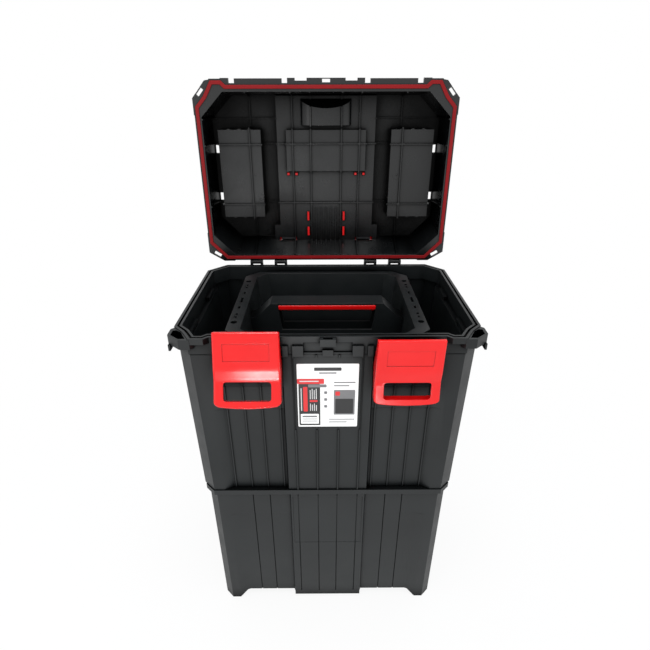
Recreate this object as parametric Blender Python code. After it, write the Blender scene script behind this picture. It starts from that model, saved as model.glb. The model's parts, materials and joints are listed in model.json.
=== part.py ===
"""Deep tool box on wheels: a ribbed lower bin, an upper body, a lid with a swing handle, and a lift-out tray.

Metres, +Z up, front towards -Y. The pieces are drawn with the lid closed. The lid group is then turned open.
"""
import math

import bmesh
import bpy
from mathutils import Matrix, Vector

# Fits between pieces
GAP = 0.0003
PIVOT_PLAY = 0.0004
WALL = 0.003

# Heights
FOOT_RISE = 0.016
BIN_TOP = 0.290
FLANGE = 0.004
BIN_LIP = 0.0095
BELT_BOTTOM = 0.550
RIM_BOTTOM = 0.571
RIM_TOP = 0.580
LID_HEIGHT = 0.060

# Lower bin, half sizes at its foot and under its lip
BIN_FOOT_X, BIN_FOOT_Y = 0.1985, 0.1402
BIN_NECK_X, BIN_NECK_Y = 0.2005, 0.1415
BIN_CORNER = 0.014
BIN_LIP_X, BIN_LIP_Y, BIN_LIP_CORNER = 0.2055, 0.1462, 0.016
BIN_PANEL_X, BIN_PANEL_Y = 0.150, 0.096
BIN_PANEL_DEPTH, BIN_FRONT_SLOPE = 0.006, 0.018
BIN_STEP_Z, BIN_STEP = 0.226, 0.0009
BIN_CENTRE_X = 0.0625
BIN_CENTRE_DEPTH = 0.001
BIN_GROOVES = (0.098, 0.127)
BIN_CENTRE_GROOVES = (0.016, 0.050)
BIN_SIDE_GROOVES = (0.027, 0.068)
BIN_LABEL_BOTTOM, BIN_LABEL_TOP = 0.155, 0.269
FOOT_X, FOOT_Y, FOOT_SLOPE = 0.171, 0.112, 0.016
APRON_BOTTOM = 0.006
APRON_DEPTH = 0.016

# Upper body, half sizes at its bottom and under its belt
BODY_FOOT_X, BODY_FOOT_Y = 0.208, 0.1445
BODY_NECK_X, BODY_NECK_Y = 0.2135, 0.1470
BODY_CORNER = 0.019
BODY_PANEL_X, BODY_PANEL_Y = 0.158, 0.104
BODY_PANEL_DEPTH = 0.0075
BODY_CENTRE_X = 0.0645
BODY_CENTRE_DEPTH = 0.0008
BODY_RIBS = (0.072, 0.0995, 0.126, 0.153)
BODY_CENTRE_RIBS = (0.0165, 0.0495)
BODY_SIDE_RIBS = (0.018, 0.054, 0.090)
BODY_REAR_RIBS = (0.0165, 0.0495, 0.083, 0.117, 0.150)
RIB_WIDTH, RIB_HEIGHT = 0.0022, 0.0018
PANEL_SLOPE, PAD_EDGE = 0.006, 0.002
BODY_FRONT_SLOPE = 0.0135
BODY_STEP, BODY_STEPS = 0.0025, (0.4550, 0.4970)
BELT_X, BELT_Y, BELT_CORNER = 0.2160, 0.1480, 0.020
NECK_OPENING_X, NECK_OPENING_Y, NECK_OPENING_CORNER = 0.183, 0.122, 0.020
LABEL_HALF_WIDTH, LABEL_BOTTOM, LABEL_TOP, LABEL_RECESS = 0.050, 0.417, 0.5455, 0.0009
BOLT_X, BOLT_Y, BOLT_RADIUS, BOLT_LENGTH = 0.110, 0.1277, 0.0025, 0.022
BOLT_HEAD_RADIUS, BOLT_HEAD, BOLT_SOCKET_RADIUS, BOLT_SOCKET = 0.0048, 0.0045, 0.0022, 0.0025

# Seal line on the rim, seen from above on the left, front to back
SEAL_FRONT_Y, SEAL_BUMP_Y, SEAL_SIDE_X, SEAL_REAR_Y = -0.1425, -0.1490, 0.2160, 0.1465
SEAL_LEFT = (
    (-0.167, SEAL_FRONT_Y),
    (-0.174, SEAL_BUMP_Y),
    (-0.189, SEAL_BUMP_Y),
    (-0.195, -0.1385),
    (-0.202, -0.1270),
    (-SEAL_SIDE_X, -0.1120),
    (-SEAL_SIDE_X, 0.1180),
    (-0.188, SEAL_REAR_Y),
)
RIM_OUT, RIM_IN = 0.0055, 0.0050
SEAL_HALF_WIDTH, SEAL_HEIGHT, SEAL_PROUD = 0.0022, 0.0037, 0.0012
TONGUE_GROOVE_HALF, TONGUE_GROOVE_DEPTH = 0.0016, 0.0035

# Front corner brackets, seen from above on the left
BRACKET_LEFT = (
    (-0.186, -0.1500),
    (-0.191, -0.1550),
    (-0.206, -0.1550),
    (-0.225, -0.1380),
    (-0.225, -0.1200),
    (-0.218, -0.1130),
    (-0.203, -0.1250),
    (-0.194, -0.1400),
)
BRACKET_HOLE_LEFT = (
    (-0.1975, -0.1500),
    (-0.2065, -0.1510),
    (-0.2205, -0.1385),
    (-0.2205, -0.1250),
    (-0.2160, -0.1240),
    (-0.2080, -0.1300),
)
BRACKET_BOTTOM = 0.564
HOOK_X, HOOK_Y0, HOOK_Y1, HOOK_BOTTOM, HOOK_THICK = 0.225, -0.143, -0.130, 0.5555, 0.003

# Lid hinge, at the rear of the rim
HINGE_Y, HINGE_Z = 0.1565, RIM_TOP + 0.0043
HINGE_CENTRES = (-0.1340, -0.0875, 0.0850, 0.1320)
HINGE_HALF_WIDTH, HINGE_EAR, HINGE_RADIUS, HINGE_PIN_RADIUS = 0.012, 0.0045, 0.0042, 0.0020
LID_OPEN = math.radians(91.0)

# Lid shell
LID_FLANGE_BOTTOM = RIM_TOP + SEAL_PROUD + GAP
LID_FLANGE_TOP = RIM_TOP + 0.0080
LID_TOP = RIM_TOP + LID_HEIGHT
LID_SKIRT_X, LID_SKIRT_FRONT, LID_SKIRT_REAR = 0.2135, -0.1385, 0.1455
LID_CROWN_X, LID_CROWN_FRONT, LID_CROWN_REAR = 0.2065, -0.1330, 0.1225
LID_CORNER = 0.040
LID_EDGE = 0.004
LID_LOOP_FRONT = (
    (-0.2225, -0.1000),
    (-0.2225, -0.1260),
    (-0.2000, -0.1520),
    (-0.1850, -0.1545),
    (-0.1850, -0.1350),
    (-0.2000, -0.1180),
)
LID_LOOP_REAR = (
    (-0.2225, 0.1000),
    (-0.2050, 0.1280),
    (-0.1800, 0.1440),
    (-0.1750, 0.1535),
    (-0.1950, 0.1535),
    (-0.2225, 0.1370),
)
LOOP_HOLE_FRONT = (-0.2100, -0.1357)
LOOP_HOLE_REAR = (-0.2068, 0.1403)
LOOP_HOLE_LENGTH, LOOP_HOLE_WIDTH = 0.0135, 0.0076
LID_REACH_Y = -0.1555
LATCH_TAB_X, LATCH_TAB_HALF, LATCH_TAB_REACH, LATCH_TAB_TOP = 0.112, 0.039, -0.1548, RIM_TOP + 0.0099
CORNER_TAB = (0.1605, 0.1740)
CENTRE_TAB_POSTS = (0.0515, 0.0640)
CENTRE_TAB_HALF, CENTRE_TAB_DIP = 0.032, -0.1515
PADLOCK_HALF_X, PADLOCK_Y0, PADLOCK_Y1, PADLOCK_WALL = 0.0065, -0.1540, -0.1490, 0.0046

# Recesses in the lid's top
LID_FLOOR = 0.0025
RECESS_X, RECESS_FRONT, RECESS_REAR, RECESS_DEPTH = 0.0858, -0.1270, 0.1310, 0.0140
RECESS_ROOT_X, RECESS_ROOT_Y = 0.0968, 0.0975
PLATE_X, PLATE_FRONT, PLATE_REAR, PLATE_DEPTH = 0.0690, -0.0725, -0.0080, 0.0060
SCOOP_HALF_X, SCOOP_FRONT, SCOOP_REAR, SCOOP_DEPTH, SCOOP_SLANT = 0.0430, -0.1260, -0.0850, 0.0130, 1.15
POCKET_X0, POCKET_X1, POCKET_Y0, POCKET_Y1, POCKET_DEPTH = 0.1180, 0.1880, -0.0735, 0.0730, 0.0300
FLUTE_RADIUS, FLUTE_PROUD, FLUTE_PITCH = 0.0034, 0.0017, 0.0185
SIDE_SLOT_X0, SIDE_SLOT_X1, SIDE_SLOT_HALF_Y = 0.1940, 0.2020, 0.0068
SIDE_SLOT_CENTRES = (-0.0420, 0.0425)

# Ribs under the lid: across, along, on the insert's floor, and round each front corner
LID_CROSS_RIBS = (-0.0520, 0.0520)
LID_SIDE_RIB_Y, LID_SIDE_RIB_X = -0.0935, 0.0885
LID_LONG_RIBS = (0.0275, 0.0600, 0.1352)
LID_PANEL_RIBS, LID_PANEL_FRONT = (0.0, 0.0095, 0.0190), 0.0610
LID_CORNER_LOOP = (
    (-0.0915, -0.1245),
    (-0.1560, -0.1245),
    (-0.1700, -0.1330),
    (-0.1955, -0.1185),
    (-0.1780, -0.0985),
    (-0.0915, -0.0985),
)
LID_RIB_THICK, LID_RIB_HEIGHT = 0.0018, 0.0022

# Swing handle in the lid's middle recess
HANDLE_Y, HANDLE_Z = 0.1220, LID_TOP - 0.0080
HANDLE_THICK, HANDLE_CORNER = 0.0106, 0.006
HANDLE_WINDOWS, HANDLE_WINDOW_MARGIN = ((0.022, 0.088), (-0.082, -0.020)), 0.008
HANDLE_OUT_X, HANDLE_IN_X, HANDLE_EAR, HANDLE_ARM_X = 0.0920, 0.0560, 0.0045, 0.0835
HANDLE_ROOT_Y, HANDLE_GRIP_Y, HANDLE_END_Y = 0.1080, -0.1010, -0.1235
HANDLE_BAR_HALF = 0.0075
HANDLE_SNAP_X = (0.0545, 0.0695)
HANDLE_SNAP, HANDLE_SNAP_DROP, HANDLE_SNAP_PLAY = 0.0040, 0.0060, 0.0010
HANDLE_PIN_RADIUS = 0.0030
LUG_THICK, LUG_HALF, LUG_TOP_DROP = 0.0040, 0.0055, 0.0025
PIN_WINDOW_HALF, PIN_WINDOW_MARGIN = 0.0034, 0.0010

# Rear insert between the handle's arms
INSERT_X, INSERT_FRONT, INSERT_REAR, INSERT_THICK = 0.0370, 0.0520, 0.1230, 0.0060
INSERT_EDGE, INSERT_CLIP_X, INSERT_CLIP_Y = 0.002, 0.0340, (0.0775, 0.1065)
INSERT_CLIP_THICK, INSERT_CLIP_HALF, INSERT_CLIP_DROP = 0.0036, 0.0080, 0.0035

# Pocket covers
COVER_X0, COVER_X1, COVER_Y0, COVER_Y1, COVER_THICK = 0.1085, 0.1925, -0.0820, 0.0790, 0.0025
COVER_AXIS_X, COVER_AXIS_RISE, COVER_PIN_RADIUS, COVER_BARREL = 0.1045, 0.0034, 0.0012, 0.0026
COVER_KNUCKLES = (-0.0500, 0.0480)
COVER_KNUCKLE_HALF, COVER_LUG_THICK, COVER_EDGE = 0.0120, 0.0030, 0.0012

# Latches: rockers on the body's front. Their section is (outwards, up) from the pivot, as latched
LATCH_X = 0.1120
LATCH_TOP_HALF, LATCH_FOOT_HALF = 0.0456, 0.0472
LATCH_PIVOT_Y, LATCH_PIVOT_Z = -0.1581, 0.5378
LATCH_PIN_RADIUS = 0.0022
LATCH_TOP, LATCH_TOP_FALL, LATCH_NOSE, LATCH_BACK = 0.0556, 0.0020, -0.0051, -0.0076
LATCH_LIP, LATCH_PLATE, LATCH_BAR = 0.0030, 0.0036, 0.0130
LATCH_FACE = (
    (0.0006, 0.0545),
    (0.0146, 0.0110),
    (0.0159, 0.0082),
    (0.0172, 0.0020),
    (0.0184, -0.0052),
    (0.0195, -0.0113),
)
LATCH_FLARE = ((0.0228, -0.0172), (0.0323, -0.0354), (0.0361, -0.0418))
LATCH_EDGE = 0.0026
LATCH_CORNER_RISE, LATCH_BOW = 0.0064, 0.0026
LATCH_CHEEK_INSIDE = 0.0413
LATCH_WINDOW_HALF, LATCH_WINDOW_ROUND = 0.0335, 0.0040
LATCH_INSET_HALF, LATCH_INSET_Z0, LATCH_INSET_Z1, LATCH_INSET = 0.0320, 0.0172, 0.0409, 0.0008
LATCH_OPEN_LEFT, LATCH_OPEN_RIGHT = math.radians(3.1), math.radians(23.4)
LATCH_EAR_OUT, LATCH_EAR_THICK, LATCH_EAR_RADIUS = 0.0409, 0.0045, 0.0048
BELT_BLOCKS = ((0.0560, 0.0640), (0.0345, 0.0500))
BELT_BLOCK_PROUD, BELT_BLOCK_Z0, BELT_BLOCK_Z1 = 0.0035, 0.5500, 0.5670
BELT_NICHE_X, BELT_NICHE_Z0, BELT_NICHE_DEPTH = 0.0345, 0.5550, 0.0025
BELT_TONGUE_X, BELT_TONGUE_Z1 = 0.0076, 0.5590

# Lift-out tray
TRAY_TOP, TRAY_DEPTH, TRAY_FLANGE = 0.5720, 0.1020, 0.0028
TRAY_X, TRAY_Y, TRAY_CORNER = 0.1495, 0.1340, 0.0240
TRAY_TUB_X, TRAY_TUB_Y, TRAY_TUB_CORNER = 0.1310, 0.1275, 0.0200
TRAY_TAPER = 0.0080
TRAY_WALL = 0.0025
ARCH_HALF_Y, ARCH_TOP_X, ARCH_FOOT_X, ARCH_FOOT_Z = 0.0170, 0.0920, 0.1160, 0.5490
ARCH_SIDE_FALL, ARCH_SKIN = 0.012, 0.004
GRIP_WINDOW_TOP_X, GRIP_WINDOW_FOOT_X, GRIP_WINDOW_Z0, GRIP_WINDOW_Z1 = 0.0805, 0.0745, 0.5250, 0.5692
GRIP_HEIGHT, GRIP_HALF_Y, GRIP_ROUND = 0.0115, 0.0180, 0.0050
TRAY_ROUND_HOLE_Y, TRAY_ROUND_HOLE_RADIUS, TRAY_HOLE_X = 0.0840, 0.0050, 0.1408
TRAY_SLOTS = ((0.0, 0.010), (0.030, 0.005), (0.055, 0.003), (0.066, 0.003))
TRAY_SLOT_HALF_X = 0.0020
SHELF_CENTRES, SHELF_HALF, SHELF_HEIGHT, SHELF_UNDER = (-0.085, 0.085), 0.014, 0.012, 0.0045
LEDGES = ((-0.093, -0.047), (0.039, 0.081))
LEDGE_X, LEDGE_Z0, LEDGE_Z1 = 0.2050, 0.5540, 0.5600

# Wheels
WHEEL_RADIUS, WHEEL_WIDTH, WHEEL_Y = 0.0480, 0.0260, 0.1250
WHEEL_OUT_X = 0.1960
WHEEL_CLEARANCE = 0.0050
TYRE_THICK, TYRE_EDGE, TREAD_HALF, TREAD_DEPTH = 0.0130, 0.0030, 0.0020, 0.0015
HUB_DISH, HUB_BOSS, HUB_RIM = 0.0080, 0.0080, 0.0060
HUB_HOLE_MIDDLE, HUB_HOLE_SHARE = 0.59, 0.29
REAR_RISE_RUN = 0.0120
AXLE_RADIUS, AXLE_HEAD_RADIUS, AXLE_HEAD, AXLE_INSIDE_X = 0.0060, 0.0105, 0.0030, 0.1600
CAP_RADIUS, CAP_THICK, CAP_EDGE = 0.0130, 0.0028, 0.0020
ROUND = 32


def clear_scene():
    for old in list(bpy.data.objects):
        bpy.data.objects.remove(old, do_unlink=True)


def plastic(name, colour, roughness, metallic=0.0):
    """A plain Principled material for one sub-part."""
    made = bpy.data.materials.new(name)
    made.use_nodes = True
    shader = made.node_tree.nodes["Principled BSDF"]
    shader.inputs["Base Color"].default_value = (*colour, 1.0)
    shader.inputs["Roughness"].default_value = roughness
    shader.inputs["Metallic"].default_value = metallic
    return made


ANTHRACITE = (0.030, 0.032, 0.034)
CHARCOAL = (0.018, 0.019, 0.020)
RED = (0.720, 0.010, 0.012)
RUBBER = (0.012, 0.012, 0.012)
STEEL = (0.480, 0.480, 0.490)
GREY = (0.200, 0.205, 0.210)


def from_mesh(name, vertices, faces):
    """An object from points and faces, with its faces turned outwards."""
    mesh = bpy.data.meshes.new(name)
    mesh.from_pydata(vertices, [], faces)
    work = bmesh.new()
    work.from_mesh(mesh)
    bmesh.ops.recalc_face_normals(work, faces=work.faces)
    work.to_mesh(mesh)
    work.free()
    made = bpy.data.objects.new(name, mesh)
    bpy.context.scene.collection.objects.link(made)
    return made


def loft(name, rings):
    """A closed solid through rings of points, capped at both ends."""
    count = len(rings[0])
    vertices = [point for ring in rings for point in ring]
    faces = [tuple(range(count)), tuple(range(len(vertices) - count, len(vertices)))]
    for level in range(len(rings) - 1):
        for k in range(count):
            a, b = level * count + k, level * count + (k + 1) % count
            faces.append((a, b, b + count, a + count))
    return from_mesh(name, vertices, faces)


def upright(name, outline, z0, z1):
    """An outline seen from above, extruded from z0 to z1."""
    return loft(name, [[(x, y, z) for x, y in outline] for z in (z0, z1)])


def sideways(name, outline, x0, x1):
    """An outline of (y, z) points, extruded from x0 to x1."""
    return loft(name, [[(x, y, z) for y, z in outline] for x in (x0, x1)])


def endways(name, outline, y0, y1):
    """An outline of (x, z) points, extruded from y0 to y1."""
    return loft(name, [[(x, y, z) for x, z in outline] for y in (y0, y1)])


def block(name, x0, x1, y0, y1, z0, z1):
    return upright(name, [(x0, y0), (x1, y0), (x1, y1), (x0, y1)], z0, z1)


def circle(radius, centre=(0.0, 0.0), count=ROUND):
    turn = 2 * math.pi / count
    turns = [turn * (k + 0.5) for k in range(count)]
    return [(centre[0] + radius * math.cos(t), centre[1] + radius * math.sin(t)) for t in turns]


def rod(name, radius, centre, x0, x1, count=ROUND):
    """A round bar along X about centre, a (y, z) point."""
    return sideways(name, circle(radius, centre, count), x0, x1)


def turned(name, profile, centre, count=ROUND):
    """A ring along X about centre (y, z), from a closed profile of (x, radius) points."""
    rings = [[(x, y, z) for y, z in circle(radius, centre, count)] for x, radius in profile]
    vertices = [point for ring in rings for point in ring]
    faces = []
    for level in range(len(rings)):
        after = (level + 1) % len(rings)
        for k in range(count):
            step = (k + 1) % count
            faces.append((level * count + k, level * count + step, after * count + step, after * count + k))
    return from_mesh(name, vertices, faces)


def combine(target, tool, operation):
    """Cuts or joins tool into target with an exact Boolean, and removes tool."""
    modifier = target.modifiers.new("shape", "BOOLEAN")
    modifier.solver = "EXACT"
    modifier.operation = operation
    modifier.object = tool
    bpy.context.view_layer.update()
    graph = bpy.context.evaluated_depsgraph_get()
    result = bpy.data.meshes.new_from_object(target.evaluated_get(graph))
    target.modifiers.clear()
    target.data = result
    bpy.data.objects.remove(tool, do_unlink=True)
    return target


def cut(target, *tools):
    for tool in tools:
        combine(target, tool, "DIFFERENCE")
    return target


def join(target, *tools):
    for tool in tools:
        combine(target, tool, "UNION")
    return target


def mirrored(outline):
    """The same outline on the other side of the middle plane."""
    return [(-x, y) for x, y in reversed(outline)]


def offset(outline, distance):
    """The outline (anticlockwise) moved outwards by distance, with mitred corners."""
    moved = []
    for k, here in enumerate(outline):
        p, q, r = Vector(outline[k - 1]), Vector(here), Vector(outline[(k + 1) % len(outline)])
        first, second = (q - p).normalized(), (r - q).normalized()
        out = Vector((first.y, -first.x)) + Vector((second.y, -second.x))
        moved.append(tuple(q + out * (2 * distance / out.length_squared)))
    return moved


def octagon(half_x, front, rear, corner):
    return [
        (-half_x + corner, front),
        (half_x - corner, front),
        (half_x, front + corner),
        (half_x, rear - corner),
        (half_x - corner, rear),
        (-half_x + corner, rear),
        (-half_x, rear - corner),
        (-half_x, front + corner),
    ]


def seal_line():
    """The seal's line round the whole rim, anticlockwise."""
    return [(-x, y) for x, y in SEAL_LEFT] + list(reversed(SEAL_LEFT))


def face_profile(
        half, panel, depth, ribs, rib, slope=PANEL_SLOPE, centre=None, centre_depth=0.0, centre_ribs=()):
    """One wall seen from above: (along, inward) points of its columns, its sunk panels, pad and ribs.

    half is where the wall's corner starts, panel is half the sunk panel and slope is the width of its edge.
    rib is (width, height), height negative for grooves.
    """
    def bars(positions, base):
        points = []
        for at in positions:
            points += [
                (at - rib[0] / 2, base),
                (at - rib[0] / 2, base - rib[1]),
                (at + rib[0] / 2, base - rib[1]),
                (at + rib[0] / 2, base),
            ]
        return points

    left = [(-half, 0.0), (-panel - slope, 0.0), (-panel, depth)]
    left += bars(sorted(-r for r in ribs), depth)
    if centre:
        left += [(-centre - PAD_EDGE, depth), (-centre, centre_depth)]
        left += bars(sorted(-r for r in centre_ribs), centre_depth)
    return left + [(-along, inward) for along, inward in reversed(left)]


def plan(half_x, half_y, corner, front, side, rear):
    """The outline of a four-sided wall from the profiles of its front, sides and rear."""
    outline = [(along, -half_y + inward) for along, inward in front]
    outline += [(half_x - inward, along) for along, inward in side]
    outline += [(-along, half_y - inward) for along, inward in rear]
    outline += [(-half_x + inward, -along) for along, inward in side]
    return outline


def bin_plan(z, inward=0.0):
    """The lower bin's outline at height z, or its inner outline, inward from it and without grooves."""
    share = z / (BIN_TOP - BIN_LIP)
    half_x = BIN_FOOT_X + (BIN_NECK_X - BIN_FOOT_X) * share - inward
    half_y = BIN_FOOT_Y + (BIN_NECK_Y - BIN_FOOT_Y) * share - inward
    step = BIN_STEP if z >= BIN_STEP_Z else 0.0
    depth = BIN_PANEL_DEPTH - step
    groove = (RIB_WIDTH * 0.7, -0.0014)
    plain = inward > 0
    panel = (half_x - BIN_CORNER, BIN_PANEL_X, depth, () if plain else BIN_GROOVES, groove)
    centre = (BIN_CENTRE_X - inward, BIN_CENTRE_DEPTH, () if plain else BIN_CENTRE_GROOVES)
    front = face_profile(*panel, BIN_FRONT_SLOPE, *centre)
    side = face_profile(half_y - BIN_CORNER, BIN_PANEL_Y, depth, () if plain else BIN_SIDE_GROOVES, groove)
    rear = face_profile(*panel, PANEL_SLOPE, *centre)
    return plan(half_x, half_y, BIN_CORNER, front, side, rear)


def body_plan(z, inward=0.0):
    """The upper body's outline at height z, or its inner outline, inward from it and without ribs."""
    share = (z - BIN_TOP) / (BELT_BOTTOM - BIN_TOP)
    half_x = BODY_FOOT_X + (BODY_NECK_X - BODY_FOOT_X) * share - inward
    half_y = BODY_FOOT_Y + (BODY_NECK_Y - BODY_FOOT_Y) * share - inward
    rib = (RIB_WIDTH, RIB_HEIGHT)
    plain = inward > 0
    # the latches stand over two steps, and the inside stays plain
    raised = 0.0 if plain else sum(BODY_STEP for height in BODY_STEPS if z >= height)
    front = face_profile(
        half_x - BODY_CORNER, BODY_PANEL_X, BODY_PANEL_DEPTH - raised, () if plain else BODY_RIBS, rib,
        BODY_FRONT_SLOPE, BODY_CENTRE_X - inward, BODY_CENTRE_DEPTH, () if plain else BODY_CENTRE_RIBS)
    side = face_profile(
        half_y - BODY_CORNER, BODY_PANEL_Y, BODY_PANEL_DEPTH, () if plain else BODY_SIDE_RIBS, rib)
    rear = face_profile(
        half_x - BODY_CORNER, BODY_PANEL_X, BODY_PANEL_DEPTH, () if plain else BODY_REAR_RIBS, rib)
    return plan(half_x, half_y, BODY_CORNER, front, side, rear)


def level(outline, z):
    return [(x, y, z) for x, y in outline]


def wheel_well(side, grow=0.0):
    """The space round one wheel, open outwards, rearwards and downwards."""
    inner = WHEEL_OUT_X - WHEEL_WIDTH - WHEEL_CLEARANCE / 2 - grow
    front = WHEEL_Y - WHEEL_RADIUS - WHEEL_CLEARANCE - grow
    top = 2 * WHEEL_RADIUS + WHEEL_CLEARANCE + grow
    x0, x1 = sorted((side * inner, side * (BIN_LIP_X + grow)))
    return block("well", x0, x1, front, BIN_LIP_Y + 0.010 + grow, -0.001 - grow, top)


def build_lower_bin():
    lip_under = BIN_TOP - GAP - BIN_LIP
    neck = octagon(BIN_LIP_X, -BIN_LIP_Y, BIN_LIP_Y, BIN_LIP_CORNER)
    heights = (0.0, BIN_STEP_Z - 0.0005, BIN_STEP_Z, lip_under + 0.001)
    tub = loft("lower_bin", [level(bin_plan(z), z) for z in heights])
    join(tub, upright("lip", neck, lip_under, BIN_TOP - GAP))
    # the underside is raised between the four feet, and all along the rear, where the wheels stand
    slope = FOOT_SLOPE
    across = [(-FOOT_X, -0.001), (FOOT_X, -0.001), (FOOT_X - slope, FOOT_RISE), (-FOOT_X + slope, FOOT_RISE)]
    along = [(-FOOT_Y, -0.001), (FOOT_Y, -0.001), (FOOT_Y - slope, FOOT_RISE), (-FOOT_Y + slope, FOOT_RISE)]
    rise_y = WHEEL_Y - WHEEL_RADIUS - WHEEL_CLEARANCE - REAR_RISE_RUN
    cut(
        tub,
        endways("arch", across, -BIN_LIP_Y, BIN_LIP_Y),
        sideways("arch", along, -BIN_LIP_X, BIN_LIP_X),
        block("rear", -BIN_LIP_X, BIN_LIP_X, rise_y, BIN_LIP_Y, -0.001, FOOT_RISE),
    )
    front = -BIN_FOOT_Y + BIN_CENTRE_DEPTH
    top = FOOT_RISE + 0.002
    join(tub, block("apron", -BIN_CENTRE_X, BIN_CENTRE_X, front, front + APRON_DEPTH, APRON_BOTTOM, top))
    cut(tub, wheel_well(-1), wheel_well(1))
    # the hollow leaves a wall round each wheel well
    floor, ceiling = FOOT_RISE + WALL, BIN_TOP - GAP - FLANGE
    hollow = loft("hollow", [level(bin_plan(z, WALL), z) for z in (floor, ceiling)])
    cut(hollow, wheel_well(-1, WALL), wheel_well(1, WALL))
    cut(tub, hollow)
    mouth = octagon(NECK_OPENING_X, -NECK_OPENING_Y, NECK_OPENING_Y, NECK_OPENING_CORNER)
    cut(tub, upright("mouth", mouth, ceiling - 0.001, BIN_TOP + 0.001))
    for x, y in bolt_places():
        hole = circle(BOLT_RADIUS + PIVOT_PLAY, (x, y), 12)
        cut(tub, upright("hole", hole, ceiling - 0.001, BIN_TOP + 0.001))
    # the axles' bores, through the inner walls of the wheel wells
    for side in (-1, 1):
        x0, x1 = sorted((side * (AXLE_INSIDE_X - 0.002), side * (WHEEL_OUT_X - WHEEL_WIDTH + 0.001)))
        cut(tub, rod("bore", AXLE_RADIUS + PIVOT_PLAY, (WHEEL_Y, WHEEL_RADIUS), x0, x1, 16))
    # a shallow label panel on the front, across the step
    pad_y = -BIN_NECK_Y + BIN_CENTRE_DEPTH
    half = BIN_CENTRE_X - 0.003
    y0, y1 = pad_y - 0.002, pad_y + LABEL_RECESS
    cut(tub, block("panel", -half, half, y0, y1, BIN_LABEL_BOTTOM, BIN_LABEL_TOP))
    return tub


def bolt_places():
    return [(x, y) for x in (-BOLT_X, BOLT_X) for y in (-BOLT_Y, BOLT_Y)]


def build_bolt(name, x, y):
    seat = BIN_TOP + FLANGE + GAP
    head = upright(name, circle(BOLT_HEAD_RADIUS, (x, y), 12), seat, seat + BOLT_HEAD)
    top = seat + BOLT_HEAD
    shank = upright("shank", circle(BOLT_RADIUS, (x, y), 12), top - BOLT_LENGTH, seat + 0.001)
    socket = upright("socket", circle(BOLT_SOCKET_RADIUS, (x, y), 6), top - BOLT_SOCKET, top + 0.001)
    join(head, shank)
    return cut(head, socket)


def hinge_ears(centre):
    """The two ears of one lid hinge on the body's rear rim."""
    base = [
        (HINGE_Y - HINGE_RADIUS, RIM_TOP - 0.0005),
        (BELT_Y - 0.001, RIM_TOP - 0.0005),
        (BELT_Y - 0.001, RIM_BOTTOM - 0.012),
        (HINGE_Y + HINGE_RADIUS, RIM_BOTTOM),
    ]
    turns = [math.pi * k / 8 for k in range(9)]
    arc = [(HINGE_Y + HINGE_RADIUS * math.cos(t), HINGE_Z + HINGE_RADIUS * math.sin(t)) for t in turns]
    ears = []
    for end in (-1, 1):
        inner, outer = centre + end * (HINGE_HALF_WIDTH - HINGE_EAR), centre + end * HINGE_HALF_WIDTH
        x0, x1 = sorted((inner, outer))
        ears.append(sideways("ear", base + arc, x0, x1))
    return ears


def latch_ears(side):
    """The two ears that carry one latch's pin, standing out of the sunk front panel."""
    foot_y = -BODY_NECK_Y + BODY_PANEL_DEPTH + 0.002
    turn = [
        (
            LATCH_PIVOT_Y + LATCH_EAR_RADIUS * math.cos(math.pi * (0.5 + k / 8)),
            LATCH_PIVOT_Z + LATCH_EAR_RADIUS * math.sin(math.pi * (0.5 + k / 8)),
        )
        for k in range(9)
    ]
    outline = [(foot_y, LATCH_PIVOT_Z + 0.010)] + turn + [(foot_y, LATCH_PIVOT_Z - 0.020)]
    ears = []
    for end in (-1, 1):
        outer = LATCH_EAR_OUT
        x0, x1 = sorted((end * (outer - LATCH_EAR_THICK), end * outer))
        ears.append(sideways("ear", outline, side * LATCH_X + x0, side * LATCH_X + x1))
    return ears


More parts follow.
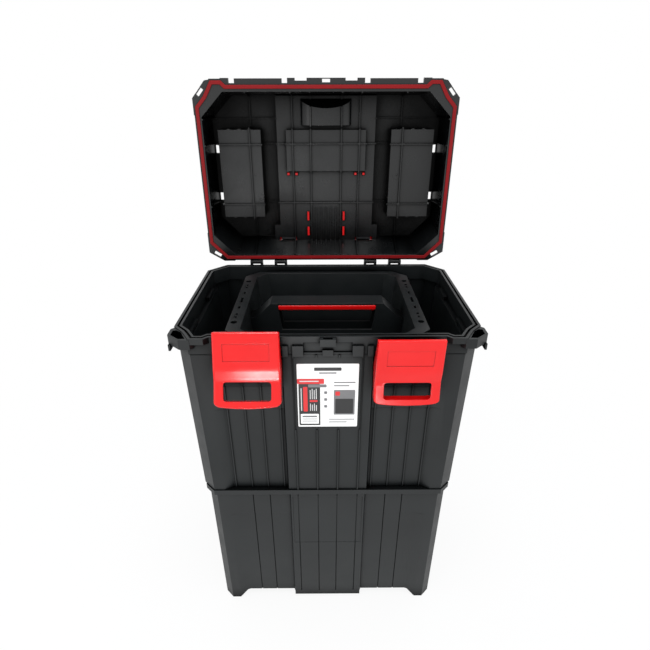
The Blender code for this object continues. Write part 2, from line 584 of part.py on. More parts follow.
def build_upper_body():
    line = seal_line()
    heights = [BIN_TOP]
    for height in BODY_STEPS:
        heights += [height - BODY_STEP, height]
    shell = loft("upper_body", [level(body_plan(z), z) for z in heights + [BELT_BOTTOM + 0.001]])
    belt = octagon(BELT_X, -BELT_Y, BELT_Y, BELT_CORNER)
    tucked = octagon(BELT_X - 0.003, -BELT_Y + 0.0025, BELT_Y - 0.0025, BELT_CORNER - 0.001)
    rings = [level(tucked, BELT_BOTTOM), level(belt, BELT_BOTTOM + 0.003), level(belt, RIM_BOTTOM + 0.001)]
    join(shell, loft("belt", rings))
    join(shell, upright("rim", offset(line, RIM_OUT), RIM_BOTTOM, RIM_TOP))
    for outline in (list(BRACKET_LEFT), mirrored(BRACKET_LEFT)):
        join(shell, upright("bracket", outline, BRACKET_BOTTOM, RIM_TOP - 0.0012))
    for side in (-1, 1):
        x0, x1 = sorted((side * (HOOK_X - HOOK_THICK), side * HOOK_X))
        join(shell, block("hook", x0, x1, HOOK_Y0, HOOK_Y1, HOOK_BOTTOM, BRACKET_BOTTOM + 0.001))
        for x_in, x_out in BELT_BLOCKS:
            x0, x1 = sorted((side * x_in, side * x_out))
            y0 = -BELT_Y - BELT_BLOCK_PROUD
            join(shell, block("block", x0, x1, y0, -BELT_Y + 0.001, BELT_BLOCK_Z0, BELT_BLOCK_Z1))
    front = -BELT_Y + BELT_NICHE_DEPTH
    face = -BELT_Y - 0.001
    cut(shell, block("niche", -BELT_NICHE_X, BELT_NICHE_X, face, front, BELT_NICHE_Z0, RIM_BOTTOM))
    half = BELT_TONGUE_X
    join(shell, block("tongue", -half, half, face, front + 0.001, BELT_BOTTOM - 0.001, BELT_TONGUE_Z1))
    # the padlock lug stands under the hole in the lid's centre tab
    half = PADLOCK_HALF_X + PADLOCK_WALL
    join(shell, block("lug", -half, half, LID_REACH_Y, -BELT_Y + 0.004, RIM_BOTTOM - 0.003, RIM_TOP - 0.001))
    # the hollow, the mouth at the bottom flange and the narrower rim
    ledge = BELT_BOTTOM + WALL
    hollow = [level(body_plan(z, WALL), z) for z in (BIN_TOP + FLANGE, ledge + 0.001)]
    cut(shell, loft("hollow", hollow))
    cut(shell, upright("rim_hollow", offset(line, -RIM_IN), ledge, RIM_TOP + 0.001))
    mouth = octagon(NECK_OPENING_X, -NECK_OPENING_Y, NECK_OPENING_Y, NECK_OPENING_CORNER)
    cut(shell, upright("mouth", mouth, BIN_TOP - 0.001, BIN_TOP + FLANGE + 0.001))
    low = RIM_TOP - TONGUE_GROOVE_DEPTH
    groove = upright("groove", offset(line, TONGUE_GROOVE_HALF), low, RIM_TOP + 0.001)
    cut(groove, upright("core", offset(line, -TONGUE_GROOVE_HALF), RIM_TOP - 0.010, RIM_TOP + 0.010))
    cut(shell, groove)
    for outline in (list(BRACKET_HOLE_LEFT), mirrored(BRACKET_HOLE_LEFT)):
        cut(shell, upright("pocket", outline, BRACKET_BOTTOM + 0.003, RIM_TOP + 0.001))
    slot = (-PADLOCK_HALF_X, PADLOCK_HALF_X, PADLOCK_Y0, PADLOCK_Y1, RIM_BOTTOM - 0.010, RIM_TOP + 0.001)
    cut(shell, block("slot", *slot))
    for x, y in bolt_places():
        hole = circle(BOLT_RADIUS + PIVOT_PLAY, (x, y), 12)
        cut(shell, upright("hole", hole, BIN_TOP - 0.001, BIN_TOP + FLANGE + 0.001))
    for centre in HINGE_CENTRES:
        join(shell, *hinge_ears(centre))
        bore = (HINGE_PIN_RADIUS + PIVOT_PLAY, (HINGE_Y, HINGE_Z))
        half = HINGE_HALF_WIDTH + 0.001
        cut(shell, rod("bore", *bore, centre - half, centre + half, 12))
    for side in (-1, 1):
        join(shell, *latch_ears(side))
        reach = LATCH_EAR_OUT + 0.001
        bore = (LATCH_PIN_RADIUS + PIVOT_PLAY, (LATCH_PIVOT_Y, LATCH_PIVOT_Z))
        cut(shell, rod("bore", *bore, side * LATCH_X - reach, side * LATCH_X + reach, 12))
    # shelves under the tray's rim, on the front and rear walls
    top = TRAY_TOP - TRAY_FLANGE - GAP
    reach = TRAY_Y - SHELF_UNDER
    for x in SHELF_CENTRES:
        for wall, sign in ((SEAL_FRONT_Y + RIM_IN, -1), (SEAL_REAR_Y - RIM_IN, 1)):
            back = wall + sign * 0.001
            outline = [(back, top), (sign * reach, top), (back, top - SHELF_HEIGHT)]
            join(shell, sideways("shelf", outline, x - SHELF_HALF, x + SHELF_HALF))
    # short ledges high on the side walls
    wall = SEAL_SIDE_X - RIM_IN + 0.001
    for side in (-1, 1):
        for y0, y1 in LEDGES:
            x0, x1 = sorted((side * LEDGE_X, side * wall))
            join(shell, block("ledge", x0, x1, y0, y1, LEDGE_Z0, LEDGE_Z1))
    face = -BODY_NECK_Y + BODY_CENTRE_DEPTH
    half = LABEL_HALF_WIDTH
    cut(shell, block("label", -half, half, face - 0.004, face + LABEL_RECESS, LABEL_BOTTOM, LABEL_TOP))
    return shell


def build_gasket():
    line = seal_line()
    bottom = RIM_TOP + GAP
    ring = upright("lid_gasket", offset(line, SEAL_HALF_WIDTH), bottom, bottom + SEAL_HEIGHT)
    core = upright("core", offset(line, -SEAL_HALF_WIDTH), bottom - 0.001, bottom + SEAL_HEIGHT + 0.001)
    return cut(ring, core)


def scoop_space(grow):
    """The finger scoop under the handle's grip: an arc across, run back from a slanted front end."""
    floor = LID_TOP - RECESS_DEPTH
    half, deep = SCOOP_HALF_X + grow, SCOOP_DEPTH + grow
    turns = [math.pi * k / 12 for k in range(13)]
    arc = [(half * math.cos(turn), floor - deep * math.sin(turn)) for turn in turns]
    section = [(half, floor + 0.001)] + arc + [(-half, floor + 0.001)]
    front = [(x, SCOOP_FRONT - grow * 0.6 + SCOOP_SLANT * (floor - z), z) for x, z in section]
    return loft("scoop", [front, [(x, SCOOP_REAR + grow, z) for x, z in section]])


def pocket_space(side, grow):
    """One pocket in the lid's top, with half-round flutes in its front and rear walls."""
    x0, x1 = sorted((side * (POCKET_X0 - grow), side * (POCKET_X1 + grow)))
    bottom, top = LID_TOP - POCKET_DEPTH - grow, LID_TOP + 0.001
    space = block("pocket", x0, x1, POCKET_Y0 - grow, POCKET_Y1 + grow, bottom, top)
    middle = side * (POCKET_X0 + POCKET_X1) / 2
    inset = FLUTE_RADIUS - FLUTE_PROUD
    for y, sign in ((POCKET_Y0, -1), (POCKET_Y1, 1)):
        for k in (-1, 0, 1):
            ring = circle(FLUTE_RADIUS + grow, (middle + k * FLUTE_PITCH, y - sign * inset), 16)
            join(space, upright("flute", ring, bottom + 0.0002, top - 0.0002))
    return space


def lid_sunk(grow):
    """The spaces sunk into the lid's top, or the skins round them when grown by a thickness."""
    top = LID_TOP + 0.001
    floor = LID_TOP - RECESS_DEPTH - grow
    right = [
        (RECESS_X, RECESS_FRONT),
        (RECESS_X, RECESS_ROOT_Y),
        (RECESS_ROOT_X, RECESS_ROOT_Y),
        (RECESS_ROOT_X, RECESS_REAR),
    ]
    recess = right + [(-x, y) for x, y in reversed(right)]
    return [
        upright("recess", offset(recess, grow), floor, top),
        block(
            "plate", -PLATE_X - grow, PLATE_X + grow, PLATE_FRONT - grow, PLATE_REAR + grow,
            floor - PLATE_DEPTH, floor + 0.001),
        scoop_space(grow),
        pocket_space(-1, grow),
        pocket_space(1, grow),
    ]


def lid_ribs(space):
    """Thin ribs under the lid, as high above every surface. space is the hollow less their height."""
    low, high = LID_FLANGE_BOTTOM - 0.002, LID_TOP + 0.002
    half = LID_RIB_THICK / 2
    far_x, far_y = LID_SKIRT_X + 0.002, LID_SKIRT_REAR + 0.002
    grid = block("grid", -far_x, far_x, LID_CROSS_RIBS[0] - half, LID_CROSS_RIBS[0] + half, low, high)
    slabs = [(-far_x, far_x, LID_CROSS_RIBS[1] - half, LID_CROSS_RIBS[1] + half)]
    for side in (-1, 1):
        slabs += [(side * x - half, side * x + half, LID_SKIRT_FRONT - 0.002, far_y) for x in LID_LONG_RIBS]
        panel = [x for x in LID_PANEL_RIBS if x or side > 0]
        slabs += [(side * x - half, side * x + half, LID_PANEL_FRONT, far_y - 0.001) for x in panel]
        x0, x1 = sorted((side * LID_SIDE_RIB_X, side * (far_x - 0.0005)))
        slabs.append((x0, x1, LID_SIDE_RIB_Y - half, LID_SIDE_RIB_Y + half))
    for count, (x0, x1, y0, y1) in enumerate(slabs, start=1):
        # each slab is a little taller than the last, so that no two of them share a face
        ease = count * 0.00003
        join(grid, block("slab", x0, x1, y0, y1, low - ease, high + ease))
    for outline in (list(LID_CORNER_LOOP), mirrored(LID_CORNER_LOOP)):
        ring = upright("ring", offset(outline, half), low - 0.001, high + 0.001)
        join(grid, cut(ring, upright("core", offset(outline, -half), low - 0.002, high + 0.002)))
    return cut(grid, space)


def loop_hole(centre, along):
    """A slanted hole through a corner loop, its long way in the direction along."""
    a = Vector(along).normalized()
    b = Vector((-a.y, a.x))
    c = Vector(centre)
    half_a, half_b = a * LOOP_HOLE_LENGTH / 2, b * LOOP_HOLE_WIDTH / 2
    corners = (-half_a - half_b, half_a - half_b, half_a + half_b, -half_a + half_b)
    return [tuple(c + corner) for corner in corners]


def build_lid():
    line = seal_line()
    bottom, top = LID_FLANGE_BOTTOM, LID_FLANGE_TOP
    shell = upright("lid_shell", offset(line, RIM_OUT), bottom, top)
    for left in (LID_LOOP_FRONT, LID_LOOP_REAR):
        for outline in (list(left), mirrored(left)):
            join(shell, upright("loop", outline, bottom, top))
    skirt = octagon(LID_SKIRT_X, LID_SKIRT_FRONT, LID_SKIRT_REAR, LID_CORNER)
    crown = octagon(LID_CROWN_X, LID_CROWN_FRONT, LID_CROWN_REAR, LID_CORNER)
    cap = octagon(LID_CROWN_X - LID_EDGE, LID_CROWN_FRONT + LID_EDGE, LID_CROWN_REAR - LID_EDGE, LID_CORNER)
    rings = [level(skirt, bottom + 0.001), level(crown, LID_TOP - LID_EDGE), level(cap, LID_TOP)]
    join(shell, loft("dome", rings))
    # the hollow under the top, less the skins of everything sunk into it
    def space(inward, name):
        low, high = offset(skirt, -inward), offset(crown, -inward)
        made = loft(name, [level(low, bottom - 0.001), level(high, LID_TOP - inward)])
        return cut(made, *lid_sunk(LID_FLOOR + inward - WALL))

    hollow = space(WALL, "hollow")
    cut(hollow, lid_ribs(space(WALL + LID_RIB_HEIGHT, "space")))
    cut(shell, hollow, *lid_sunk(0.0))
    # tabs along the front edge, with gaps for the latches' cheeks
    front = SEAL_FRONT_Y - RIM_OUT + 0.001
    for side in (-1, 1):
        spans = (
            (LATCH_TAB_X - LATCH_TAB_HALF, LATCH_TAB_X + LATCH_TAB_HALF, LATCH_TAB_REACH, LATCH_TAB_TOP),
            (*CORNER_TAB, LID_REACH_Y, top),
            (*CENTRE_TAB_POSTS, LID_REACH_Y, top),
        )
        for x_in, x_out, reach, height in spans:
            x0, x1 = sorted((side * x_in, side * x_out))
            join(shell, block("tab", x0, x1, reach, front, bottom, height))
    post, half = CENTRE_TAB_POSTS[0], CENTRE_TAB_HALF
    join(shell, block("tab", -post, post, CENTRE_TAB_DIP, front, bottom, top))
    join(shell, block("tab", -half, half, LID_REACH_Y, front, bottom, top - 0.0004))
    slot = (-PADLOCK_HALF_X, PADLOCK_HALF_X, PADLOCK_Y0, PADLOCK_Y1, bottom - 0.001, top + 0.001)
    cut(shell, block("slot", *slot))
    # the gasket's groove and the holes of the corner loops
    seat = RIM_TOP + GAP + SEAL_HEIGHT + GAP
    groove = upright("groove", offset(line, SEAL_HALF_WIDTH + GAP), bottom - 0.001, seat)
    cut(groove, upright("core", offset(line, -SEAL_HALF_WIDTH - GAP), bottom - 0.010, seat + 0.010))
    cut(shell, groove)
    holes = (
        loop_hole(LOOP_HOLE_FRONT, (0.0225, -0.0260)),
        loop_hole(LOOP_HOLE_REAR, (0.0275, 0.0165)),
    )
    for hole in holes:
        for outline in (hole, mirrored(hole)):
            cut(shell, upright("hole", outline, bottom - 0.001, top + 0.001))
    # notches for the body's hinge ears, and the lid's own knuckles between them
    for centre in HINGE_CENTRES:
        reach = HINGE_HALF_WIDTH + 2 * GAP
        near, far = HINGE_Y - HINGE_RADIUS - 2 * GAP, HINGE_Y + HINGE_RADIUS
        cut(shell, block("notch", centre - reach, centre + reach, near, far, bottom - 0.001, top + 0.001))
        half = HINGE_HALF_WIDTH - HINGE_EAR - PIVOT_PLAY
        x0, x1 = centre - half, centre + half
        pivot = (HINGE_Y, HINGE_Z)
        knuckle = rod("knuckle", HINGE_RADIUS - 0.0002, pivot, x0, x1, 16)
        join(shell, knuckle, block("arm", x0, x1, near - 0.002, HINGE_Y, bottom + 0.0002, top - 0.0005))
        cut(shell, rod("bore", HINGE_PIN_RADIUS + PIVOT_PLAY, pivot, x0 - 0.001, x1 + 0.001, 12))
    # slots through the top: beside the pockets, and under the handle's pins, its snaps and the insert's clips
    floor = LID_TOP - RECESS_DEPTH
    under, over = floor - LID_FLOOR - 0.001, floor + 0.001
    for side in (-1, 1):
        for y in SIDE_SLOT_CENTRES:
            x0, x1 = sorted((side * SIDE_SLOT_X0, side * SIDE_SLOT_X1))
            z0, z1 = LID_TOP - WALL - 0.001, LID_TOP + 0.001
            cut(shell, block("slot", x0, x1, y - SIDE_SLOT_HALF_Y, y + SIDE_SLOT_HALF_Y, z0, z1))
        x0, x1 = sorted((side * (HANDLE_IN_X + PIN_WINDOW_MARGIN), side * (HANDLE_OUT_X - PIN_WINDOW_MARGIN)))
        y0, y1 = HANDLE_Y - PIN_WINDOW_HALF, HANDLE_Y + PIN_WINDOW_HALF
        cut(shell, block("window", x0, x1, y0, y1, under, over))
        for x in HANDLE_SNAP_X:
            half = HANDLE_SNAP / 2 + HANDLE_SNAP_PLAY
            x0, x1 = side * x - half, side * x + half
            cut(shell, block("slot", x0, x1, -half - HANDLE_SNAP_PLAY, half, under, over))
        for y in INSERT_CLIP_Y:
            half_x, half_y = INSERT_CLIP_THICK / 2 + GAP, INSERT_CLIP_HALF + GAP
            x = side * INSERT_CLIP_X
            cut(shell, block("slot", x - half_x, x + half_x, y - half_y, y + half_y, under, over))
    # lugs for the handle's pins
    y0, y1, top = HANDLE_Y - LUG_HALF, HANDLE_Y + LUG_HALF, LID_TOP - LUG_TOP_DROP
    first, last = HANDLE_IN_X - PIVOT_PLAY - LUG_THICK, HANDLE_OUT_X + PIVOT_PLAY
    for side in (-1, 1):
        for x_near in (first, last):
            x0, x1 = sorted((side * x_near, side * (x_near + LUG_THICK)))
            join(shell, block("lug", x0, x1, y0, y1, floor - 0.001, top))
        x0, x1 = sorted((side * (first - 0.001), side * (last + LUG_THICK + 0.0002)))
        cut(shell, rod("bore", HANDLE_PIN_RADIUS + PIVOT_PLAY, (HANDLE_Y, HANDLE_Z), x0, x1, 12))
    # lugs for the pocket covers' pins
    for side in (-1, 1):
        for centre in COVER_KNUCKLES:
            for end in (-1, 1):
                y0, y1 = sorted((
                    centre + end * (COVER_KNUCKLE_HALF + PIVOT_PLAY),
                    centre + end * (COVER_KNUCKLE_HALF + PIVOT_PLAY + COVER_LUG_THICK)))
                x = side * COVER_AXIS_X
                z = LID_TOP + COVER_AXIS_RISE
                base = [(x + COVER_BARREL, LID_TOP - 0.001), (x - COVER_BARREL, LID_TOP - 0.001)]
                turns = [math.pi * k / 6 for k in range(7)]
                arc = [(x - COVER_BARREL * math.cos(t), z + COVER_BARREL * math.sin(t)) for t in turns]
                join(shell, endways("lug", base + arc, y0, y1))
        axis = (side * COVER_AXIS_X, LID_TOP + COVER_AXIS_RISE)
        bore = circle(COVER_PIN_RADIUS + PIVOT_PLAY, axis, 8)
        reach = COVER_KNUCKLE_HALF + COVER_LUG_THICK + 0.002
        for centre in COVER_KNUCKLES:
            cut(shell, endways("bore", bore, centre - reach, centre + reach))
    return shell


def build_handle():
    """The swing handle: two wide arms with forked roots, a middle bar and a round-edged grip."""
    z0, z1 = HANDLE_Z - HANDLE_THICK / 2, HANDLE_Z + HANDLE_THICK / 2
    x1, x0 = HANDLE_OUT_X, HANDLE_IN_X
    edge = HANDLE_CORNER
    arm, flare = HANDLE_ARM_X, HANDLE_OUT_X - HANDLE_ARM_X
    outline = [
        (-x1, HANDLE_ROOT_Y),
        (-arm, HANDLE_ROOT_Y - flare),
        (-arm, HANDLE_END_Y + edge),
        (-arm + edge, HANDLE_END_Y),
        (arm - edge, HANDLE_END_Y),
        (arm, HANDLE_END_Y + edge),
        (arm, HANDLE_ROOT_Y - flare),
        (x1, HANDLE_ROOT_Y),
    ]
    handle = upright("pull_handle", outline, z0, z1)
    inner = x0 - 0.001
    under, over = z0 - 0.001, z1 + 0.001
    cut(handle, block("gap", -inner, inner, HANDLE_BAR_HALF, HANDLE_ROOT_Y + 0.001, under, over))
    cut(handle, block("gap", -inner, inner, HANDLE_GRIP_Y, -HANDLE_BAR_HALF, under, over))
    for side in (-1, 1):
        for x_near in (x0, x1 - HANDLE_EAR):
            a, b = sorted((side * x_near, side * (x_near + HANDLE_EAR)))
            ear = block("ear", a, b, HANDLE_ROOT_Y - 0.001, HANDLE_Y, z0, z1)
            join(handle, ear, rod("eye", HANDLE_THICK / 2, (HANDLE_Y, HANDLE_Z), a, b, 16))
        a, b = sorted((side * (x0 - 0.002), side * (x1 + 0.002)))
        cut(handle, rod("bore", HANDLE_PIN_RADIUS + PIVOT_PLAY, (HANDLE_Y, HANDLE_Z), a, b, 12))
        # long windows lighten each arm
        a, b = sorted((side * (x0 + HANDLE_WINDOW_MARGIN), side * (arm - HANDLE_WINDOW_MARGIN)))
        for front, rear in HANDLE_WINDOWS:
            cut(handle, block("window", a, b, front, rear, under, over))
        for x in HANDLE_SNAP_X:
            half = HANDLE_SNAP / 2
            a, b = side * x - half, side * x + half
            join(handle, block("snap", a, b, -half, half, z0 - HANDLE_SNAP_DROP, z0 + 0.001))
    return handle


def build_insert():
    floor = LID_TOP - RECESS_DEPTH + GAP
    top = floor + INSERT_THICK
    edge = INSERT_EDGE
    x, front, rear = INSERT_X, INSERT_FRONT, INSERT_REAR
    low = [(-x, front), (x, front), (x, rear), (-x, rear)]
    high = offset(low, -edge)
    plate = loft("rear_insert", [level(low, floor), level(low, top - edge), level(high, top)])
    for side in (-1, 1):
        for y in INSERT_CLIP_Y:
            x, half = side * INSERT_CLIP_X, INSERT_CLIP_THICK / 2
            y0, y1 = y - INSERT_CLIP_HALF, y + INSERT_CLIP_HALF
            drop = floor - LID_FLOOR - INSERT_CLIP_DROP
            join(plate, block("clip", x - half, x + half, y0, y1, drop, floor + 0.001))
    return plate


def build_cover(name, side):
    """A pocket cover with its two hinge knuckles."""
    z0 = LID_TOP + GAP
    z1 = z0 + COVER_THICK
    edge = COVER_EDGE
    x0, x1 = sorted((side * COVER_X0, side * COVER_X1))
    low = [(x0, COVER_Y0), (x1, COVER_Y0), (x1, COVER_Y1), (x0, COVER_Y1)]
    cover = loft(name, [level(low, z0), level(low, z1 - edge), level(offset(low, -edge), z1)])
    axis = (side * COVER_AXIS_X, LID_TOP + COVER_AXIS_RISE)
    for centre in COVER_KNUCKLES:
        y0, y1 = centre - COVER_KNUCKLE_HALF, centre + COVER_KNUCKLE_HALF
        a, b = sorted((axis[0], side * (COVER_X0 + 0.002)))
        web = block("web", a, b, y0, y1, z0 + 0.0005, z1)
        join(cover, web, endways("knuckle", circle(COVER_BARREL - 0.0002, axis, 12), y0, y1))
        bore = circle(COVER_PIN_RADIUS + PIVOT_PLAY, axis, 8)
        cut(cover, endways("bore", bore, y0 - 0.001, y1 + 0.001))
    return cover


def build_cover_pin(name, side, centre):
    reach = COVER_KNUCKLE_HALF + PIVOT_PLAY + COVER_LUG_THICK
    ring = circle(COVER_PIN_RADIUS, (side * COVER_AXIS_X, LID_TOP + COVER_AXIS_RISE), 8)
    return endways(name, ring, centre - reach, centre + reach)


def latch_section(inset, share):
    """The latch's section, as (y, z) points, its face set in and its foot raised by a share of the rise."""
    along = Vector(LATCH_FLARE[2]) - Vector(LATCH_FLARE[1])
    along.normalize()
    inward = Vector((along.y, -along.x))
    foot = Vector(LATCH_FLARE[2]) - along * (LATCH_CORNER_RISE * share)
    bar = Vector(LATCH_FLARE[1]) + inward * LATCH_BAR - along * 0.0015
    top = LATCH_TOP - inset * 0.7
    points = [(LATCH_BACK, top - LATCH_TOP_FALL), (LATCH_FACE[0][0] - 0.0018 - inset, top)]
    points += [(out - inset, up - inset * 0.3) for out, up in LATCH_FACE + LATCH_FLARE[:2]]
    points += [
        tuple(foot + inward * inset),
        tuple(foot + inward * (inset + 0.0015) + along * 0.0012),
        tuple(foot + inward * (LATCH_BAR - 0.002) + along * 0.0012),
        tuple(foot + inward * LATCH_BAR),
        tuple(bar),
        (LATCH_FLARE[0][0] - LATCH_BAR - 0.001, LATCH_FLARE[0][1] - 0.0080),
        (LATCH_BACK, LATCH_FLARE[0][1] + 0.0080),
    ]
    return [(LATCH_PIVOT_Y - out, LATCH_PIVOT_Z + up) for out, up in points]


def build_latch(name, side):
    """A latch as latched: a round-edged plate, cheeks, a lip over the lid's tab and a finger window."""
    middle = side * LATCH_X
    bow = LATCH_BOW / LATCH_CORNER_RISE
    stations = [
        (1.0, LATCH_EDGE, 1.0),
        (1.0 - LATCH_EDGE * 0.25 / LATCH_FOOT_HALF, LATCH_EDGE * 0.3, 0.72),
        (1.0 - LATCH_EDGE / LATCH_FOOT_HALF, 0.0, 0.40),
        (0.86, 0.0, 0.05),
        (0.68, 0.0, -bow * 0.35),
        (0.40, 0.0, -bow * 0.75),
        (0.0, 0.0, -bow),
    ]
    ordered = [(-along, inset, share) for along, inset, share in stations]
    ordered += [(along, inset, share) for along, inset, share in reversed(stations[:-1])]
    rings = []
    for along, inset, share in ordered:
        ring = []
        for y, z in latch_section(inset, share):
            down = min(max((LATCH_PIVOT_Z + LATCH_TOP - z) / (LATCH_TOP - LATCH_FLARE[2][1]), 0.0), 1.0)
            half = LATCH_TOP_HALF + (LATCH_FOOT_HALF - LATCH_TOP_HALF) * down
            ring.append((middle + along * half, y, z))
        rings.append(ring)
    latch = loft(name, rings)
    # the inside, open towards the body, leaves the plate, the lip, the cheeks and the foot bar
    along = (Vector(LATCH_FLARE[2]) - Vector(LATCH_FLARE[1])).normalized()
    inward = Vector((along.y, -along.x))
    sill = Vector(LATCH_FLARE[1])
    lip = LATCH_TOP - LATCH_LIP
    inside = [(LATCH_FACE[0][0] - LATCH_PLATE, lip)]
    inside += [(out - LATCH_PLATE, up - 0.0008) for out, up in LATCH_FACE[2:]]
    inside += [
        tuple(sill + inward * LATCH_PLATE + along * GAP),
        tuple(sill + inward * (LATCH_BAR + 0.020) + along * GAP),
        (LATCH_BACK - 0.020, -0.060),
        (LATCH_BACK - 0.020, lip),
    ]
    inside = [(LATCH_PIVOT_Y - out, LATCH_PIVOT_Z + up) for out, up in inside]
    cut(latch, sideways("inside", inside, middle - LATCH_CHEEK_INSIDE, middle + LATCH_CHEEK_INSIDE))
    reach = LATCH_TOP_HALF + 0.002
    z0, z1 = LATCH_PIVOT_Z + lip - 0.001, LATCH_PIVOT_Z + LATCH_TOP + 0.001
    y0, y1 = LATCH_PIVOT_Y - LATCH_NOSE, LATCH_PIVOT_Y - LATCH_BACK + 0.001
    cut(latch, block("nose", middle - reach, middle + reach, y0, y1, z0, z1))
    # the window is cut square to the flared grip
    top, low = Vector(LATCH_FACE[-1]), sill
    w, r = LATCH_WINDOW_HALF, LATCH_WINDOW_ROUND
    rise = (low - top).normalized()
    top, low = top + rise * 0.0007, low + rise * 0.0009
    height = (low - top).length
    corners = [(-w, r), (-w + r * 0.3, r * 0.3), (-w + r, 0), (w - r, 0), (w - r * 0.3, r * 0.3), (w, r)]
    corners += [(x, height - v) for x, v in reversed(corners)]
    rings = []
    for depth in (-0.012, 0.050):
        ring = []
        for x, v in corners:
            place = top + rise * v + inward * depth
            ring.append((middle + x, LATCH_PIVOT_Y - place.x, LATCH_PIVOT_Z + place.y))
        rings.append(ring)
    cut(latch, loft("window", rings))
    # a shallow panel on the upper plate
    first, last = Vector(LATCH_FACE[0]), Vector(LATCH_FACE[1])
    slope = (last - first).normalized()
    normal = Vector((-slope.y, slope.x))
    high, foot = [first + slope * ((first.y - up) / -slope.y) for up in (LATCH_INSET_Z1, LATCH_INSET_Z0)]
    deep, proud = normal * LATCH_INSET, normal * 0.004
    section = [
        (LATCH_PIVOT_Y - place.x, LATCH_PIVOT_Z + place.y)
        for place in (high - deep, foot - deep, foot + proud, high + proud)
    ]
    cut(latch, sideways("inset", section, middle - LATCH_INSET_HALF, middle + LATCH_INSET_HALF))
    bore = (LATCH_PIN_RADIUS + PIVOT_PLAY, (LATCH_PIVOT_Y, LATCH_PIVOT_Z))
    reach = LATCH_TOP_HALF - 0.0015
    cut(latch, rod("bore", *bore, middle - reach, middle + reach, 12))
    return latch


def build_latch_pin(name, side):
    reach = LATCH_TOP_HALF - 0.0020
    centre = (LATCH_PIVOT_Y, LATCH_PIVOT_Z)
    return rod(name, LATCH_PIN_RADIUS, centre, side * LATCH_X - reach, side * LATCH_X + reach, 12)


def build_tray():
    """The lift-out tray: a tapered tub under a slotted flange, parted by an arch with a hand window."""
    top, bottom = TRAY_TOP, TRAY_TOP - TRAY_DEPTH
    flange = octagon(TRAY_X, -TRAY_Y, TRAY_Y, TRAY_CORNER)
    wide = octagon(TRAY_TUB_X, -TRAY_TUB_Y, TRAY_TUB_Y, TRAY_TUB_CORNER)
    foot_x, foot_y = TRAY_TUB_X - TRAY_TAPER, TRAY_TUB_Y - TRAY_TAPER
    narrow = octagon(foot_x, -foot_y, foot_y, TRAY_TUB_CORNER)
    tray = loft("tray_body", [level(narrow, bottom), level(wide, top - 0.001)])
    join(tray, upright("flange", flange, top - TRAY_FLANGE, top))
    skin = TRAY_WALL
    rings = [level(offset(narrow, -skin), bottom + skin), level(offset(wide, -skin), top + 0.001)]
    hollow = loft("hollow", rings)
    # the arch stays standing in the hollow
    arch = [
        (TRAY_X, bottom - 0.001),
        (TRAY_X, ARCH_FOOT_Z - ARCH_SIDE_FALL),
        (ARCH_FOOT_X, ARCH_FOOT_Z),
        (ARCH_TOP_X, top),
    ]
    arch += [(-x, z) for x, z in reversed(arch)]
    cut(hollow, endways("arch", arch, -ARCH_HALF_Y, ARCH_HALF_Y))
    cut(tray, hollow)
    reach = foot_x - ARCH_SKIN
    void = [
        (reach, bottom - 0.001),
        (reach, ARCH_FOOT_Z - ARCH_SIDE_FALL - 2 * ARCH_SKIN),
        (ARCH_FOOT_X - ARCH_SKIN, ARCH_FOOT_Z - ARCH_SKIN),
        (ARCH_TOP_X - ARCH_SKIN + 0.001, top - skin),
    ]
    void += [(-x, z) for x, z in reversed(void)]
    cut(tray, endways("void", void, -ARCH_HALF_Y + skin, ARCH_HALF_Y - skin))
    window = [
        (-GRIP_WINDOW_FOOT_X, GRIP_WINDOW_Z0),
        (GRIP_WINDOW_FOOT_X, GRIP_WINDOW_Z0),
        (GRIP_WINDOW_TOP_X, GRIP_WINDOW_Z1),
        (-GRIP_WINDOW_TOP_X, GRIP_WINDOW_Z1),
    ]
    cut(tray, endways("window", window, -ARCH_HALF_Y - 0.001, ARCH_HALF_Y + 0.001))
    for side in (-1, 1):
        x = side * TRAY_HOLE_X
        z0, z1 = top - TRAY_FLANGE - 0.001, top + 0.001
        for y in (-TRAY_ROUND_HOLE_Y, TRAY_ROUND_HOLE_Y):
            cut(tray, upright("hole", circle(TRAY_ROUND_HOLE_RADIUS, (x, y), 16), z0, z1))
        for y, half in [(end * y, half) for y, half in TRAY_SLOTS for end in (-1, 1) if y or end > 0]:
            cut(tray, block("slot", x - TRAY_SLOT_HALF_X, x + TRAY_SLOT_HALF_X, y - half, y + half, z0, z1))
    return tray


def build_grip():
    """The grip under the arch's beam, round below."""
    top = GRIP_WINDOW_Z1 - GAP
    foot = top - GRIP_HEIGHT
    outline = [(-GRIP_HALF_Y, top)]
    for k in range(9):
        turn = math.pi * k / 8
        outline.append((-GRIP_HALF_Y * math.cos(turn), foot + GRIP_ROUND * (1 - math.sin(turn))))
    outline.append((GRIP_HALF_Y, top))
    slope = (GRIP_WINDOW_TOP_X - GRIP_WINDOW_FOOT_X) / (GRIP_WINDOW_Z1 - GRIP_WINDOW_Z0)
    end = GRIP_WINDOW_TOP_X - GAP * 1.5 - slope * GRIP_WINDOW_Z1
    return loft("tray_grip", [[(side * (end + slope * z), y, z) for y, z in outline] for side in (-1, 1)])


def build_tyre(name, side):
    x1 = WHEEL_OUT_X
    x0 = x1 - WHEEL_WIDTH
    r, inner = WHEEL_RADIUS, WHEEL_RADIUS - TYRE_THICK
    mid = (x0 + x1) / 2
    edge, half = TYRE_EDGE, TREAD_HALF
    profile = [
        (x0, inner),
        (x0, r - edge),
        (x0 + edge, r),
        (mid - half, r),
        (mid - half / 2, r - TREAD_DEPTH),
        (mid + half / 2, r - TREAD_DEPTH),
        (mid + half, r),
        (x1 - edge, r),
        (x1, r - edge),
        (x1, inner),
    ]
    return turned(name, [(side * x, radius) for x, radius in profile], (WHEEL_Y, WHEEL_RADIUS))


